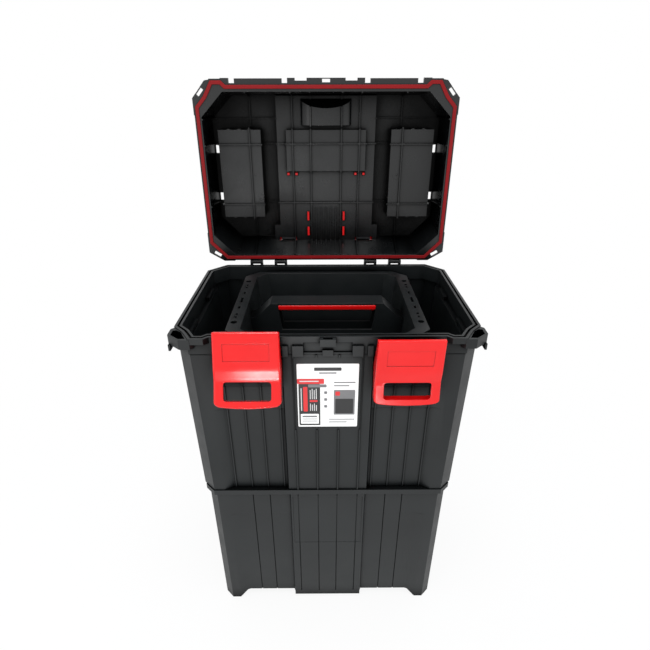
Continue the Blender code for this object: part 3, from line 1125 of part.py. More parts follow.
def build_hub(name, side):
    x1 = WHEEL_OUT_X - 0.0005
    x0 = x1 - WHEEL_WIDTH + 0.001
    rim, bore = WHEEL_RADIUS - TYRE_THICK - GAP, AXLE_RADIUS + PIVOT_PLAY
    boss, lip = bore + HUB_BOSS, rim - HUB_RIM
    profile = [
        (x0, bore),
        (x0, boss - 0.002),
        (x0 + HUB_DISH, boss),
        (x0 + HUB_DISH, lip),
        (x0, lip + HUB_RIM / 2),
        (x0, rim),
        (x1, rim),
        (x1, lip + HUB_RIM / 2),
        (x1 - HUB_DISH, lip),
        (x1 - HUB_DISH, boss + 0.002),
        (x1, boss),
        (x1, bore),
    ]
    hub = turned(name, [(side * x, radius) for x, radius in profile], (WHEEL_Y, WHEEL_RADIUS))
    a, b = sorted((side * (x0 - 0.001), side * (x1 + 0.001)))
    ring = boss + HUB_HOLE_MIDDLE * (lip - boss)
    for k in range(6):
        turn = math.pi * (2 * k + 1) / 6
        middle = (WHEEL_Y + ring * math.cos(turn), WHEEL_RADIUS + ring * math.sin(turn))
        cut(hub, rod("hole", HUB_HOLE_SHARE * (lip - boss), middle, a, b, 10))
    return hub


def build_cap(name, side):
    x0 = WHEEL_OUT_X - 0.0005 + GAP
    x1 = x0 + CAP_THICK
    profile = ((x0, CAP_RADIUS), (x1 - CAP_EDGE / 2, CAP_RADIUS), (x1, CAP_RADIUS - CAP_EDGE))
    centre = (WHEEL_Y, WHEEL_RADIUS)
    return loft(name, [[(side * x, y, z) for y, z in circle(r, centre, 24)] for x, r in profile])


def build_axle(name, side):
    centre = (WHEEL_Y, WHEEL_RADIUS)
    wall_inside = WHEEL_OUT_X - WHEEL_WIDTH - WHEEL_CLEARANCE / 2 - WALL
    head_x = wall_inside - GAP
    a, b = sorted((side * (head_x - AXLE_HEAD), side * head_x))
    head = rod(name, AXLE_HEAD_RADIUS, centre, a, b, 16)
    a, b = sorted((side * (head_x - 0.001), side * (WHEEL_OUT_X - 0.001)))
    return join(head, rod("shaft", AXLE_RADIUS, centre, a, b, 16))


def empty(name, place, parent=None):
    made = bpy.data.objects.new(name, None)
    bpy.context.scene.collection.objects.link(made)
    made.parent = parent
    made.location = place
    return made


def carry(piece, frame, origin, material):
    """Hangs a piece, drawn in the closed box's own place, on a frame whose rest place was origin."""
    piece.data.transform(Matrix.Translation(-Vector(origin)))
    piece.parent = frame
    piece.data.materials.clear()
    piece.data.materials.append(material)
    piece.data.shade_smooth()
    piece.data.set_sharp_from_angle(angle=math.radians(30))
    return piece


def main():
    clear_scene()
    base = empty("base", (0, 0, 0))
    ground = Vector((0, 0, 0))
    body_look = plastic("box_plastic", ANTHRACITE, 0.42)
    fixed = [
        (build_lower_bin(), body_look),
        (build_upper_body(), plastic("body_plastic", ANTHRACITE, 0.42)),
    ]
    bolt_look = plastic("bolt_steel", STEEL, 0.35, 1.0)
    for k, (x, y) in enumerate(bolt_places()):
        fixed.append((build_bolt(f"join_bolt_{k + 1}", x, y), bolt_look))
    pin_look = plastic("pin_steel", STEEL, 0.30, 1.0)
    for k, centre in enumerate(HINGE_CENTRES):
        x0, x1 = centre - HINGE_HALF_WIDTH, centre + HINGE_HALF_WIDTH
        pin = rod(f"hinge_pin_{k + 1}", HINGE_PIN_RADIUS, (HINGE_Y, HINGE_Z), x0, x1, 12)
        fixed.append((pin, pin_look))
    for side, word in ((-1, "left"), (1, "right")):
        fixed.append((build_latch_pin(f"latch_pin_{word}", side), pin_look))
        fixed.append((build_axle(f"axle_{word}", side), pin_look))
    for piece, look in fixed:
        carry(piece, base, ground, look)

    # each moving group hangs on an empty on its own axis
    latch_look = plastic("latch_plastic", RED, 0.25)
    for side, word, tip in ((-1, "left", LATCH_OPEN_LEFT), (1, "right", LATCH_OPEN_RIGHT)):
        pivot = Vector((side * LATCH_X, LATCH_PIVOT_Y, LATCH_PIVOT_Z))
        frame = empty(f"latch_{word}_axis", pivot, base)
        frame.rotation_euler = (tip, 0, 0)
        carry(build_latch(f"latch_{word}", side), frame, pivot, latch_look)

    tray_frame = empty("tray_axis", (0, 0, TRAY_TOP), base)
    tray_place = Vector((0, 0, TRAY_TOP))
    carry(build_tray(), tray_frame, tray_place, plastic("tray_plastic", CHARCOAL, 0.45))
    carry(build_grip(), tray_frame, tray_place, plastic("grip_plastic", RED, 0.35))

    tyre_look, hub_look = plastic("tyre_rubber", RUBBER, 0.75), plastic("hub_plastic", CHARCOAL, 0.50)
    cap_look = plastic("cap_plastic", RED, 0.35)
    for side, word in ((-1, "left"), (1, "right")):
        centre = Vector((side * (WHEEL_OUT_X - WHEEL_WIDTH / 2), WHEEL_Y, WHEEL_RADIUS))
        frame = empty(f"wheel_{word}_axis", centre, base)
        carry(build_tyre(f"tyre_{word}", side), frame, centre, tyre_look)
        carry(build_hub(f"hub_{word}", side), frame, centre, hub_look)
        carry(build_cap(f"hub_cap_{word}", side), frame, centre, cap_look)

    hinge = Vector((0, HINGE_Y, HINGE_Z))
    lid = empty("lid_axis", hinge, base)
    lid.rotation_euler = (-LID_OPEN, 0, 0)
    carry(build_lid(), lid, hinge, plastic("lid_plastic", ANTHRACITE, 0.42))
    carry(build_gasket(), lid, hinge, plastic("gasket_rubber", (0.42, 0.008, 0.010), 0.50))
    carry(build_insert(), lid, hinge, plastic("insert_plastic", RED, 0.35))
    handle_pin_look = plastic("handle_pin_plastic", GREY, 0.40)
    for side, word in ((-1, "left"), (1, "right")):
        reach = PIVOT_PLAY + LUG_THICK
        x0, x1 = sorted((side * (HANDLE_IN_X - reach), side * (HANDLE_OUT_X + reach)))
        pin = rod(f"handle_pin_{word}", HANDLE_PIN_RADIUS, (HANDLE_Y, HANDLE_Z), x0, x1, 12)
        carry(pin, lid, hinge, handle_pin_look)
        for k, centre in enumerate(COVER_KNUCKLES):
            carry(build_cover_pin(f"cover_pin_{word}_{k + 1}", side, centre), lid, hinge, pin_look)
    handle_axis = Vector((0, HANDLE_Y, HANDLE_Z))
    handle_frame = empty("handle_axis", handle_axis - hinge, lid)
    carry(build_handle(), handle_frame, handle_axis, plastic("handle_plastic", RED, 0.30))
    cover_look = plastic("cover_plastic", CHARCOAL, 0.30)
    for side, word in ((-1, "left"), (1, "right")):
        cover_axis = Vector((side * COVER_AXIS_X, 0, LID_TOP + COVER_AXIS_RISE))
        frame = empty(f"cover_{word}_axis", cover_axis - hinge, lid)
        carry(build_cover(f"pocket_cover_{word}", side), frame, cover_axis, cover_look)

    # the box stands with the middle of its whole footprint, lid open, on the origin
    bpy.context.view_layer.update()
    pieces = [piece for piece in bpy.data.objects if piece.type == "MESH"]
    reach = [(piece.matrix_world @ vertex.co).y for piece in pieces for vertex in piece.data.vertices]
    base.location.y = -(min(reach) + max(reach)) / 2
    bpy.context.view_layer.update()
    for frame in sorted((o for o in bpy.data.objects if o.type == "EMPTY"), key=lambda o: o.name):
        print(frame.name, [round(v, 5) for v in frame.matrix_world.translation])


main()
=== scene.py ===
"""Looks for the deep plastic tool box on wheels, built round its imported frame. Metres, +Z up, front towards -Y."""
import json
import math

import bmesh
import bpy
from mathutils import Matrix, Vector


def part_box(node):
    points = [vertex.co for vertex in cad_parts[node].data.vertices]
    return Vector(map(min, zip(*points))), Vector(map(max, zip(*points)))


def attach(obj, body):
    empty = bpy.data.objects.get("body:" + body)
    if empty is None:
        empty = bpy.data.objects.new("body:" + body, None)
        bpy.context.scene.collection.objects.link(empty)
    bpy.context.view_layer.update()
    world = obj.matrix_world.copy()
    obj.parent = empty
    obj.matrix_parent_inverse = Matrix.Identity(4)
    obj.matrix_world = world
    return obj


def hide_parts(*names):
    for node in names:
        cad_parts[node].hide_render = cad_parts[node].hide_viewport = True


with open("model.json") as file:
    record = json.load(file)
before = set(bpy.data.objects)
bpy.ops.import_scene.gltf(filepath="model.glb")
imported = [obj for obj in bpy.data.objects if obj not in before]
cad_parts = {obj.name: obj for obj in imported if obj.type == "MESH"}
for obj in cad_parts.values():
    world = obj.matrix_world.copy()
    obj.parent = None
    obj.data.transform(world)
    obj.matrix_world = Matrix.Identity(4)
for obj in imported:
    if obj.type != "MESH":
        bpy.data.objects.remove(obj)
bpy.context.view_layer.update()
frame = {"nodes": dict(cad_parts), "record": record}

NODES = frame["nodes"]
SCENE = bpy.context.scene

# The middle of the box, front to back, which the tray is centred on
MIDDLE_Y = sum(corner.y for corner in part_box("tray_body")) / 2

# The lid's hinge and how far it stands open, and what the frame's y adds to that of the source's middle
JOINTS = frame["record"]["behaviour"]["joints"]
LID_HINGE = next(joint["pos_m"] for joint in JOINTS if joint["name"] == "lid_hinge")
LID_OPEN_DEG = -91
LID_SIN, LID_COS = math.sin(math.radians(LID_OPEN_DEG)), math.cos(math.radians(LID_OPEN_DEG))
MIDDLE_SHIFT = -0.01449

# A box's faces, over its lower and upper ring of four corners
BOX_FACES = [(0, 3, 2, 1), (4, 5, 6, 7), (0, 1, 5, 4), (1, 2, 6, 5), (2, 3, 7, 6), (3, 0, 4, 7)]

# Colours, linear
ANTHRACITE = (0.0062, 0.0078, 0.0084)
ANTHRACITE_WORN = (0.0105, 0.0128, 0.0136)
CHARCOAL = (0.0040, 0.0046, 0.0050)
CHARCOAL_WORN = (0.0070, 0.0080, 0.0086)
RED = (0.760, 0.0040, 0.0045)
RED_DEEP = (0.640, 0.0030, 0.0035)
SEAL_RED = (0.260, 0.0020, 0.0040)
SEAL_RED_DEEP = (0.190, 0.0014, 0.0030)
STEEL = (0.480, 0.480, 0.490)
STEEL_DULL = (0.360, 0.360, 0.370)
GREY = (0.040, 0.042, 0.045)
GREY_DULL = (0.026, 0.027, 0.029)
RUBBER = (0.0100, 0.0100, 0.0105)
RUBBER_DUSTY = (0.0190, 0.0190, 0.0190)
PAPER = (0.860, 0.860, 0.850)
PAPER_DULL = (0.800, 0.800, 0.790)
INK = (0.0110, 0.0110, 0.0120)
INK_RED = (0.620, 0.0200, 0.0260)
INK_GREY = (0.180, 0.180, 0.185)
INK_GREY_DULL = (0.110, 0.110, 0.114)
INK_PALE = (0.520, 0.520, 0.520)

# The sticker on the front, and its generic layout: (left, top, right, bottom) as shares of it, ink and lift
STICKER_HALF, STICKER_LOW, STICKER_HIGH, STICKER_THICK = 0.0450, 0.4225, 0.5350, 0.00025
STICKER_CORNER, STICKER_SUNK = 0.0018, 0.0004
INK_THICK, INK_CORNER, INK_CORNER_SHARE = 0.00003, 0.0012, 0.24
PAPER_GRAIN = 0.000004
STICKER_BLOCKS = (
    (0.28, 0.055, 0.72, 0.105, "ink_dark", 1), (0.36, 0.128, 0.64, 0.148, "ink_grey", 1),
    (0.00, 0.225, 0.44, 0.305, "ink_red", 2), (0.04, 0.256, 0.35, 0.272, "ink_pale", 3),
    (0.18, 0.312, 0.48, 0.358, "ink_grey", 2), (0.02, 0.305, 0.375, 0.975, "ink_dark", 1),
    (0.055, 0.370, 0.070, 0.735, "ink_pale", 2), (0.095, 0.350, 0.165, 0.745, "ink_red", 2),
    (0.205, 0.400, 0.217, 0.545, "ink_pale", 2), (0.238, 0.380, 0.250, 0.545, "ink_pale", 2),
    (0.271, 0.400, 0.283, 0.545, "ink_pale", 2), (0.304, 0.380, 0.316, 0.545, "ink_pale", 2),
    (0.200, 0.560, 0.330, 0.590, "ink_red", 2), (0.205, 0.615, 0.217, 0.735, "ink_pale", 2),
    (0.238, 0.635, 0.250, 0.735, "ink_pale", 2), (0.271, 0.615, 0.283, 0.735, "ink_pale", 2),
    (0.304, 0.640, 0.316, 0.735, "ink_pale", 2), (0.045, 0.785, 0.350, 0.950, "paper", 2),
    (0.075, 0.815, 0.320, 0.840, "ink_grey", 3), (0.075, 0.865, 0.320, 0.875, "ink_grey", 3),
    (0.075, 0.900, 0.320, 0.910, "ink_grey", 3),
    (0.60, 0.400, 0.95, 0.800, "ink_grey", 1), (0.625, 0.540, 0.925, 0.780, "ink_dark", 2),
    (0.625, 0.425, 0.700, 0.490, "ink_red", 2), (0.60, 0.275, 0.95, 0.292, "ink_grey", 1),
    (0.60, 0.325, 0.85, 0.342, "ink_grey", 1), (0.44, 0.420, 0.49, 0.462, "ink_grey", 1),
    (0.44, 0.530, 0.49, 0.572, "ink_grey", 1), (0.44, 0.640, 0.49, 0.682, "ink_grey", 1),
    (0.52, 0.870, 0.95, 0.884, "ink_grey", 1), (0.52, 0.915, 0.82, 0.929, "ink_grey", 1),
)

# How far the seal's flanks bulge into its groove's walls, and how level a flank's normal is at least
SEAL_SWELL, SEAL_FLANK = 0.0008, 0.2

# Marks left by the moulds: places, radii and heights
GATE_X, GATE_Z = 0.1290, 0.7405
GATE_RING, GATE_RING_PROUD, GATE_NUB, GATE_NUB_PROUD, GATE_NUB_SUNK = 0.0080, 0.00010, 0.0016, 0.0011, 0.0001
TRAY_MARKS = ((0.070, -0.085), (0.070, 0.085), (0.030, 0.070))
EJECTOR_RADIUS, EJECTOR_PROUD = 0.0045, 0.00015
MARK_SUNK, MARK_SHOULDER = 0.0002, 0.3

# The outer bar of each front corner loop, in the closed lid's frame
LOOP_EDGE = ((-0.2225, -0.1260), (-0.2000, -0.1520))
LOOP_BAR_ALONG, LOOP_BAR_IN, LOOP_BAR_Z = (0.0070, 0.0240), (0.0002, 0.0014), (0.5815, 0.5875)

# The sill of each handle pin's window, as it stands with the lid open
SILL_X, SILL_Y, SILL_Z = (-0.0868, -0.0612), (0.1848, 0.1856), (0.6143, 0.6168)

# How round each softened copy's edges are, and in how many steps
SOFT_EDGES = (
    ("latch_left", 0.0024, 3), ("latch_right", 0.0024, 3), ("lid_gasket", 0.0006, 3), ("tray_grip", 0.0012, 3),
    ("upper_body", 0.0005, 2), ("lower_bin", 0.0006, 2), ("lid_shell", 0.0004, 2), ("tray_body", 0.0004, 2),
)

# Where a material's patches turn to the worn shade, and its smears from the glossiest to the dullest
PATCH_FROM, PATCH_TO = 0.35, 0.80
SMEAR_FROM, SMEAR_TO = 0.3, 0.7

# Painted shade in hollows: what is left of a material's colour and gloss in the deepest hollows, and its coat's own
# roughness
PAINTED_SHADE_COLOUR, PAINTED_SHADE_GLOSS = 0.10, 0.12
COAT_ROUGHNESS = 0.12

# Lamps: name, place, target, size and watts
LAMPS = (
    ("key", (-0.205, -1.135, 0.26), (-0.09, MIDDLE_Y, 0.54), (0.17, 0.08), 1.6),
    ("low", (-0.02, -1.16, 0.09), (0, MIDDLE_Y, 0.50), (0.50, 0.08), 1.3),
    ("left_fill", (-1.0, -1.15, 0.9), (0, MIDDLE_Y, 0.55), (0.6, 1.2), 2.4),
    ("right_fill", (1.3, -0.75, 0.9), (0, MIDDLE_Y, 0.45), (0.6, 1.2), 0.6),
    ("top", (0.0, -0.35, 2.2), (0, MIDDLE_Y, 0.5), (0.9, 0.5), 12.0),
)
SKY, SKY_STRENGTH = (0.96, 0.98, 1.0), 1.10

# The floor: half its width, its depth under the part, and how its own white grows with the distance
FLOOR_HALF, FLOOR_UNDER = 12, 0.0004
FLOOR_NEAR, FLOOR_FAR, FLOOR_SHARE = 0.5, 1.2, 0.90
FLOOR_SHADE, FLOOR_ROUGHNESS, FLOOR_GLOSS = 0.80, 0.9, 0.1

# Camera, from the photograph taken as 650 by 650
FRAME_PX = 650
FOCAL_PX = 481
CENTRE_PX = (324.8, 341.0)
CAMERA_AT = (-0.0068, -0.7360, 0.8893)
CAMERA_DOWN, CAMERA_ROLL, CAMERA_TURN = 28.25, 0.1, -0.3
SENSOR_MM = 36


def node_tools(material):
    """A new node and a link, in a material's tree."""
    tree = material.node_tree

    def add(kind, **values):
        node = tree.nodes.new(kind)
        for key, value in values.items():
            if hasattr(node, key):
                setattr(node, key, value)
            else:
                node.inputs[key.replace("_", " ")].default_value = value
        return node

    return add, tree.links.new


def ranged(add, link, value, low, high, start, end):
    """A value's range from low to high, laid over start to end."""
    level = add("ShaderNodeMapRange")
    for socket, limit in (("From Min", low), ("From Max", high), ("To Min", start), ("To Max", end)):
        level.inputs[socket].default_value = limit
    link(value, level.inputs["Value"])
    return level.outputs["Result"]


def mottled(name, colour, worn, roughness, grain=1500, grain_depth=0.00003, patch=9, metallic=0.0, coat=0.0,
            edge=0.0006, spread=0.10, specular=0.5, shade=None):
    """Moulded plastic, rubber or metal: two close shades in soft patches, fine grain, uneven gloss and eased edges.

    Given a distance and two shares of open sky, hollows closer than that get painted shade: ambient occlusion
    darkens their colour and dims their gloss.
    """
    made = bpy.data.materials.new(name)
    made.use_nodes = True
    shader = made.node_tree.nodes["Principled BSDF"]
    add, link = node_tools(made)
    place = add("ShaderNodeTexCoord")
    patches = add("ShaderNodeTexNoise", Scale=patch, Detail=4, Roughness=0.55)
    link(place.outputs["Object"], patches.inputs["Vector"])
    shades = add("ShaderNodeValToRGB")
    for element, position, shade_colour in zip(shades.color_ramp.elements, (PATCH_FROM, PATCH_TO), (colour, worn)):
        element.position = position
        element.color = (*shade_colour, 1)
    link(patches.outputs["Fac"], shades.inputs["Fac"])
    shader.inputs["Specular IOR Level"].default_value = specular
    # Painted shade: ambient occlusion darkens the colour and dims the gloss in hollows
    if shade:
        reach, closed, clear = shade
        openness = add("ShaderNodeAmbientOcclusion", samples=8, Distance=reach)
        light = ranged(add, link, openness.outputs["AO"], closed, clear, PAINTED_SHADE_COLOUR, 1.0)
        painted_shade_darkening = add("ShaderNodeVectorMath", operation="SCALE")
        link(shades.outputs["Color"], painted_shade_darkening.inputs[0])
        link(light, painted_shade_darkening.inputs["Scale"])
        link(painted_shade_darkening.outputs["Vector"], shader.inputs["Base Color"])
        painted_shade_shine = ranged(add, link, openness.outputs["AO"], closed, clear, specular * PAINTED_SHADE_GLOSS, specular)
        link(painted_shade_shine, shader.inputs["Specular IOR Level"])
    else:
        link(shades.outputs["Color"], shader.inputs["Base Color"])
    smears = add("ShaderNodeTexNoise", Scale=patch * 4, Detail=5, Roughness=0.6)
    link(place.outputs["Object"], smears.inputs["Vector"])
    finest, dullest = roughness - spread / 2, roughness + spread / 2
    gloss = ranged(add, link, smears.outputs["Fac"], SMEAR_FROM, SMEAR_TO, finest, dullest)
    link(gloss, shader.inputs["Roughness"])
    fine = add("ShaderNodeTexNoise", Scale=grain, Detail=2, Roughness=0.5)
    link(place.outputs["Object"], fine.inputs["Vector"])
    bump = add("ShaderNodeBump", Strength=1.0, Distance=grain_depth)
    link(fine.outputs["Fac"], bump.inputs["Height"])
    if edge:
        eased = add("ShaderNodeBevel", samples=6, Radius=edge)
        link(eased.outputs["Normal"], bump.inputs["Normal"])
    link(bump.outputs["Normal"], shader.inputs["Normal"])
    shader.inputs["Metallic"].default_value = metallic
    shader.inputs["Coat Weight"].default_value = coat
    shader.inputs["Coat Roughness"].default_value = COAT_ROUGHNESS
    return made


# The materials below that are given a reach and two shares of open sky carry painted shade in their hollows
BODY_PLASTIC = mottled("body_plastic", ANTHRACITE, ANTHRACITE_WORN, 0.42, specular=0.32, shade=(0.045, 0.45, 0.92))
BIN_PLASTIC = mottled("bin_plastic", ANTHRACITE, ANTHRACITE_WORN, 0.46, specular=0.38, shade=(0.040, 0.40, 0.92))
LID_PLASTIC = mottled("lid_plastic", CHARCOAL, CHARCOAL_WORN, 0.24, patch=7, specular=0.55,
                      shade=(0.090, 0.50, 0.96))
TRAY_PLASTIC = mottled("tray_plastic", ANTHRACITE, ANTHRACITE_WORN, 0.36, specular=0.46, shade=(0.030, 0.30, 0.90))
COVER_PLASTIC = mottled("cover_plastic", CHARCOAL, CHARCOAL_WORN, 0.40, specular=0.36, shade=(0.020, 0.30, 0.90))
HUB_PLASTIC = mottled("hub_plastic", CHARCOAL, CHARCOAL_WORN, 0.45, specular=0.34)
RED_GLOSS = mottled("red_gloss", RED_DEEP, RED, 0.20, grain=420, coat=0.1, edge=0.0014, specular=0.4,
                    shade=(0.012, 0.35, 0.85))
RED_SATIN = mottled("red_satin", RED_DEEP, RED, 0.34, grain=900, edge=0.0008, specular=0.4)
SEAL_RUBBER = mottled("seal_rubber", SEAL_RED_DEEP, SEAL_RED, 0.50, grain=1100, edge=0.0005, specular=0.22)
PIN_STEEL = mottled("pin_steel", STEEL_DULL, STEEL, 0.34, grain=2400, metallic=1.0, edge=0.0003)
PIN_PLASTIC = mottled("pin_plastic", GREY_DULL, GREY, 0.40, edge=0.0003, specular=0.3)
TYRE_RUBBER = mottled("tyre_rubber", RUBBER, RUBBER_DUSTY, 0.68, grain=1300, grain_depth=0.00008, patch=22)

INKS = {
    "paper": mottled("sticker_paper", PAPER_DULL, PAPER, 0.30, grain=900, grain_depth=PAPER_GRAIN, edge=0,
                     spread=0.06),
    "ink_dark": mottled("sticker_ink_dark", INK, CHARCOAL_WORN, 0.34, edge=0, grain_depth=PAPER_GRAIN),
    "ink_red": mottled("sticker_ink_red", RED_DEEP, INK_RED, 0.34, edge=0, grain_depth=PAPER_GRAIN),
    "ink_grey": mottled("sticker_ink_grey", INK_GREY, INK_GREY_DULL, 0.34, edge=0, grain_depth=PAPER_GRAIN),
    "ink_pale": mottled("sticker_ink_pale", INK_PALE, PAPER_DULL, 0.34, edge=0, grain_depth=PAPER_GRAIN),
}

FINISHES = (
    ("lower_bin", BIN_PLASTIC), ("upper_body", BODY_PLASTIC), ("lid_shell", LID_PLASTIC),
    ("lid_gasket", SEAL_RUBBER), ("rear_insert", RED_SATIN), ("pull_handle", RED_GLOSS),
    ("tray_body", TRAY_PLASTIC), ("tray_grip", RED_GLOSS), ("pocket_cover", COVER_PLASTIC),
    ("latch_pin", PIN_STEEL), ("latch_", RED_GLOSS), ("join_bolt", PIN_STEEL), ("hinge_pin", PIN_STEEL),
    ("handle_pin", PIN_PLASTIC), ("cover_pin", PIN_STEEL), ("axle", PIN_STEEL), ("tyre", TYRE_RUBBER),
    ("hub_cap", RED_GLOSS), ("hub", HUB_PLASTIC),
)


def finish_of(node):
    """A node's material, by the start of its name."""
    return next(material for start, material in FINISHES if node.startswith(start))


def body_of(node):
    """The moving body that a node belongs to."""
    return next(body for body, nodes in frame["record"]["behaviour"]["bodies"].items() if node in nodes)


for node, thing in NODES.items():
    thing.data.materials.clear()
    thing.data.materials.append(finish_of(node))


def softened(node, width, segments, angle=32, dissolve=0.6, merge=0.00002, evenness=80):
    """A copy of a CAD node with merged faces and rounded edges, which stands for it."""
    source = NODES[node]
    mesh = source.data.copy()
    mesh.name = node + "_soft"
    work = bmesh.new()
    work.from_mesh(mesh)
    bmesh.ops.remove_doubles(work, verts=work.verts, dist=merge)
    bmesh.ops.dissolve_limit(work, angle_limit=math.radians(dissolve), verts=work.verts, edges=work.edges)
    work.to_mesh(mesh)
    work.free()
    piece = bpy.data.objects.new(node + "_soft", mesh)
    SCENE.collection.objects.link(piece)
    piece.matrix_world = source.matrix_world.copy()
    mesh.materials.clear()
    mesh.materials.append(finish_of(node))
    bevel = piece.modifiers.new("edges", "BEVEL")
    bevel.width = width
    bevel.segments = segments
    bevel.limit_method = "ANGLE"
    bevel.angle_limit = math.radians(angle)
    bevel.use_clamp_overlap = True
    mesh.shade_smooth()
    mesh.set_sharp_from_angle(angle=math.radians(angle))
    weight = piece.modifiers.new("weight", "WEIGHTED_NORMAL")
    weight.mode = "FACE_AREA"
    weight.weight = evenness
    weight.keep_sharp = True
    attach(piece, body_of(node))
    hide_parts(node)
    return piece


def widened(piece, swell):
    """The seal's soft flanks, pressed out along the lid's plane."""
    turn = piece.matrix_world.to_3x3()
    back = turn.inverted()
    moves = []
    for vertex in piece.data.vertices:
        heading = turn @ vertex.normal
        heading.y = 0
        moves.append(back @ (heading.normalized() * swell) if heading.length > SEAL_FLANK else Vector())
    for vertex, move in zip(piece.data.vertices, moves):
        vertex.co += move


def surface(node, origin, heading):
    """Where a straight line meets a CAD node first, and which way its face looks there."""
    thing = NODES[node]
    inverse = thing.matrix_world.inverted()
    turn = inverse.to_3x3()
    hit, place, normal, _ = thing.ray_cast(inverse @ Vector(origin), (turn @ Vector(heading)).normalized())
    if not hit:
        raise ValueError(f"no surface of {node} from {origin}")
    return thing.matrix_world @ place, (thing.matrix_world.to_3x3() @ normal).normalized()


def add_piece(name, node, material, verts, faces):
    """A small new piece on a CAD node, that moves with it."""
    mesh = bpy.data.meshes.new(name)
    mesh.from_pydata(verts, [], faces)
    mesh.materials.append(material)
    piece = bpy.data.objects.new(name, mesh)
    SCENE.collection.objects.link(piece)
    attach(piece, body_of(node))
    return piece


def slab(name, node, material, outline, normal, thick):
    """A flat piece: an outline, in order seen from outside, raised along its normal."""
    count = len(outline)
    verts = [Vector(place) for place in outline] + [Vector(place) + normal * thick for place in outline]
    faces = [tuple(range(count, 2 * count)), tuple(reversed(range(count)))]
    faces += [(k, (k + 1) % count, (k + 1) % count + count, k + count) for k in range(count)]
    return add_piece(name, node, material, verts, faces)


def rounded(x0, z0, x1, z1, radius, steps=4):
    """A rectangle's corners, rounded, anticlockwise from the lower left."""
    ring = []
    for x, z, first in ((x0, z0, 180), (x1, z0, 270), (x1, z1, 0), (x0, z1, 90)):
        cx = x + (radius if x == x0 else -radius)
        cz = z + (radius if z == z0 else -radius)
        for k in range(steps + 1):
            turn = math.radians(first + 90 * k / steps)
            ring.append((cx + radius * math.cos(turn), cz + radius * math.sin(turn)))
    return ring


def make_sticker():
    """The sticker in the front's plain plate, with its blocks of ink."""
    node = "upper_body"
    places = [surface(node, (0, -1, z), (0, 1, 0))[0] for z in (STICKER_LOW, STICKER_HIGH)]
    front, normal = min(place.y for place in places), Vector((0, -1, 0))

    def lay(x, z, lift):
        return (x, front - lift, z)

    ring = rounded(-STICKER_HALF, STICKER_LOW, STICKER_HALF, STICKER_HIGH, STICKER_CORNER)
    back = [lay(x, z, -STICKER_SUNK) for x, z in ring]
    slab("sticker", node, INKS["paper"], back, normal, STICKER_SUNK + STICKER_THICK)
    wide, tall = 2 * STICKER_HALF, STICKER_HIGH - STICKER_LOW
    for number, (x0, top, x1, foot, ink, level) in enumerate(STICKER_BLOCKS):
        left, right = -STICKER_HALF + x0 * wide, -STICKER_HALF + x1 * wide
        z0, z1 = STICKER_HIGH - foot * tall, STICKER_HIGH - top * tall
        radius = min(INK_CORNER, (right - left) * INK_CORNER_SHARE, (z1 - z0) * INK_CORNER_SHARE)
        lift = STICKER_THICK + INK_THICK * (level - 1)
        outline = [lay(x, z, lift) for x, z in rounded(left, z0, right, z1, radius, 3)]
        slab(f"sticker_block_{number + 1}", node, INKS[ink], outline, normal, INK_THICK)


def make_mark(name, node, origin, heading, radius, proud, sides, sunk=MARK_SUNK):
    """A low round mark left by the mould, with a sloped edge, where a line meets a CAD node."""
    place, normal = surface(node, origin, heading)
    across = normal.orthogonal().normalized()
    beside = normal.cross(across)
    verts = []
    for reach, out in ((radius, -sunk), (radius, proud * MARK_SHOULDER), (radius - proud, proud)):
        for k in range(sides):
            turn = 2 * math.pi * k / sides
            verts.append(place + (across * math.cos(turn) + beside * math.sin(turn)) * reach + normal * out)
    faces = [tuple(reversed(range(sides))), tuple(range(2 * sides, 3 * sides))]
    for ring in (0, sides):
        for k in range(sides):
            faces.append((ring + k, ring + (k + 1) % sides, ring + sides + (k + 1) % sides, ring + sides + k))
    return add_piece(name, node, finish_of(node), verts, faces)


def make_marks():
    """Gate nubs and ejector marks on the lid's inside and in the tray."""
    for word, side in (("left", -1), ("right", 1)):
        at = (side * GATE_X, -1, GATE_Z)
        make_mark(f"gate_ring_{word}", "lid_shell", at, (0, 1, 0), GATE_RING, GATE_RING_PROUD, 40)
        make_mark(f"gate_nub_{word}", "lid_shell", at, (0, 1, 0), GATE_NUB, GATE_NUB_PROUD, 20, GATE_NUB_SUNK)
        for number, (x, y) in enumerate(TRAY_MARKS):
            name = f"tray_mark_{word}_{number + 1}"
            above = (side * x, MIDDLE_Y + y, 1)
            make_mark(name, "tray_body", above, (0, 0, -1), EJECTOR_RADIUS, EJECTOR_PROUD, 28)


def from_lid(x, y, z):
    """A place in the closed lid's frame, where the open lid holds it."""
    dy, dz = y - LID_HINGE[1], z - LID_HINGE[2]
    return Vector((x, dy * LID_COS - dz * LID_SIN, dy * LID_SIN + dz * LID_COS)) + Vector(LID_HINGE)


def make_bars():
    """The outer bars of the front corner loops, and the sills under the handle pins."""
    (ax, ay), (bx, by) = LOOP_EDGE
    length = math.hypot(bx - ax, by - ay)
    ux, uy = (bx - ax) / length, (by - ay) / length
    for word, side in (("left", 1), ("right", -1)):
        faces = [face[::side] for face in BOX_FACES]
        ring = []
        for along, inward in ((0, 0), (1, 0), (1, 1), (0, 1)):
            a, i = LOOP_BAR_ALONG[along], LOOP_BAR_IN[inward]
            ring.append((side * (ax + ux * a - uy * i), ay + uy * a + ux * i + MIDDLE_SHIFT))
        verts = [from_lid(x, y, z) for z in LOOP_BAR_Z for x, y in ring]
        add_piece(f"loop_bar_{word}", "lid_shell", LID_PLASTIC, verts, faces)
        (x0, x1), (y0, y1) = (side * x for x in SILL_X), SILL_Y
        verts = [(x, y, z) for z in SILL_Z for x, y in ((x0, y0), (x1, y0), (x1, y1), (x0, y1))]
        add_piece(f"pin_sill_{word}", "lid_shell", LID_PLASTIC, verts, faces)


def look_at(thing, target):
    """Turns a lamp towards a place."""
    thing.rotation_euler = (Vector(target) - thing.location).to_track_quat("-Z", "Y").to_euler()


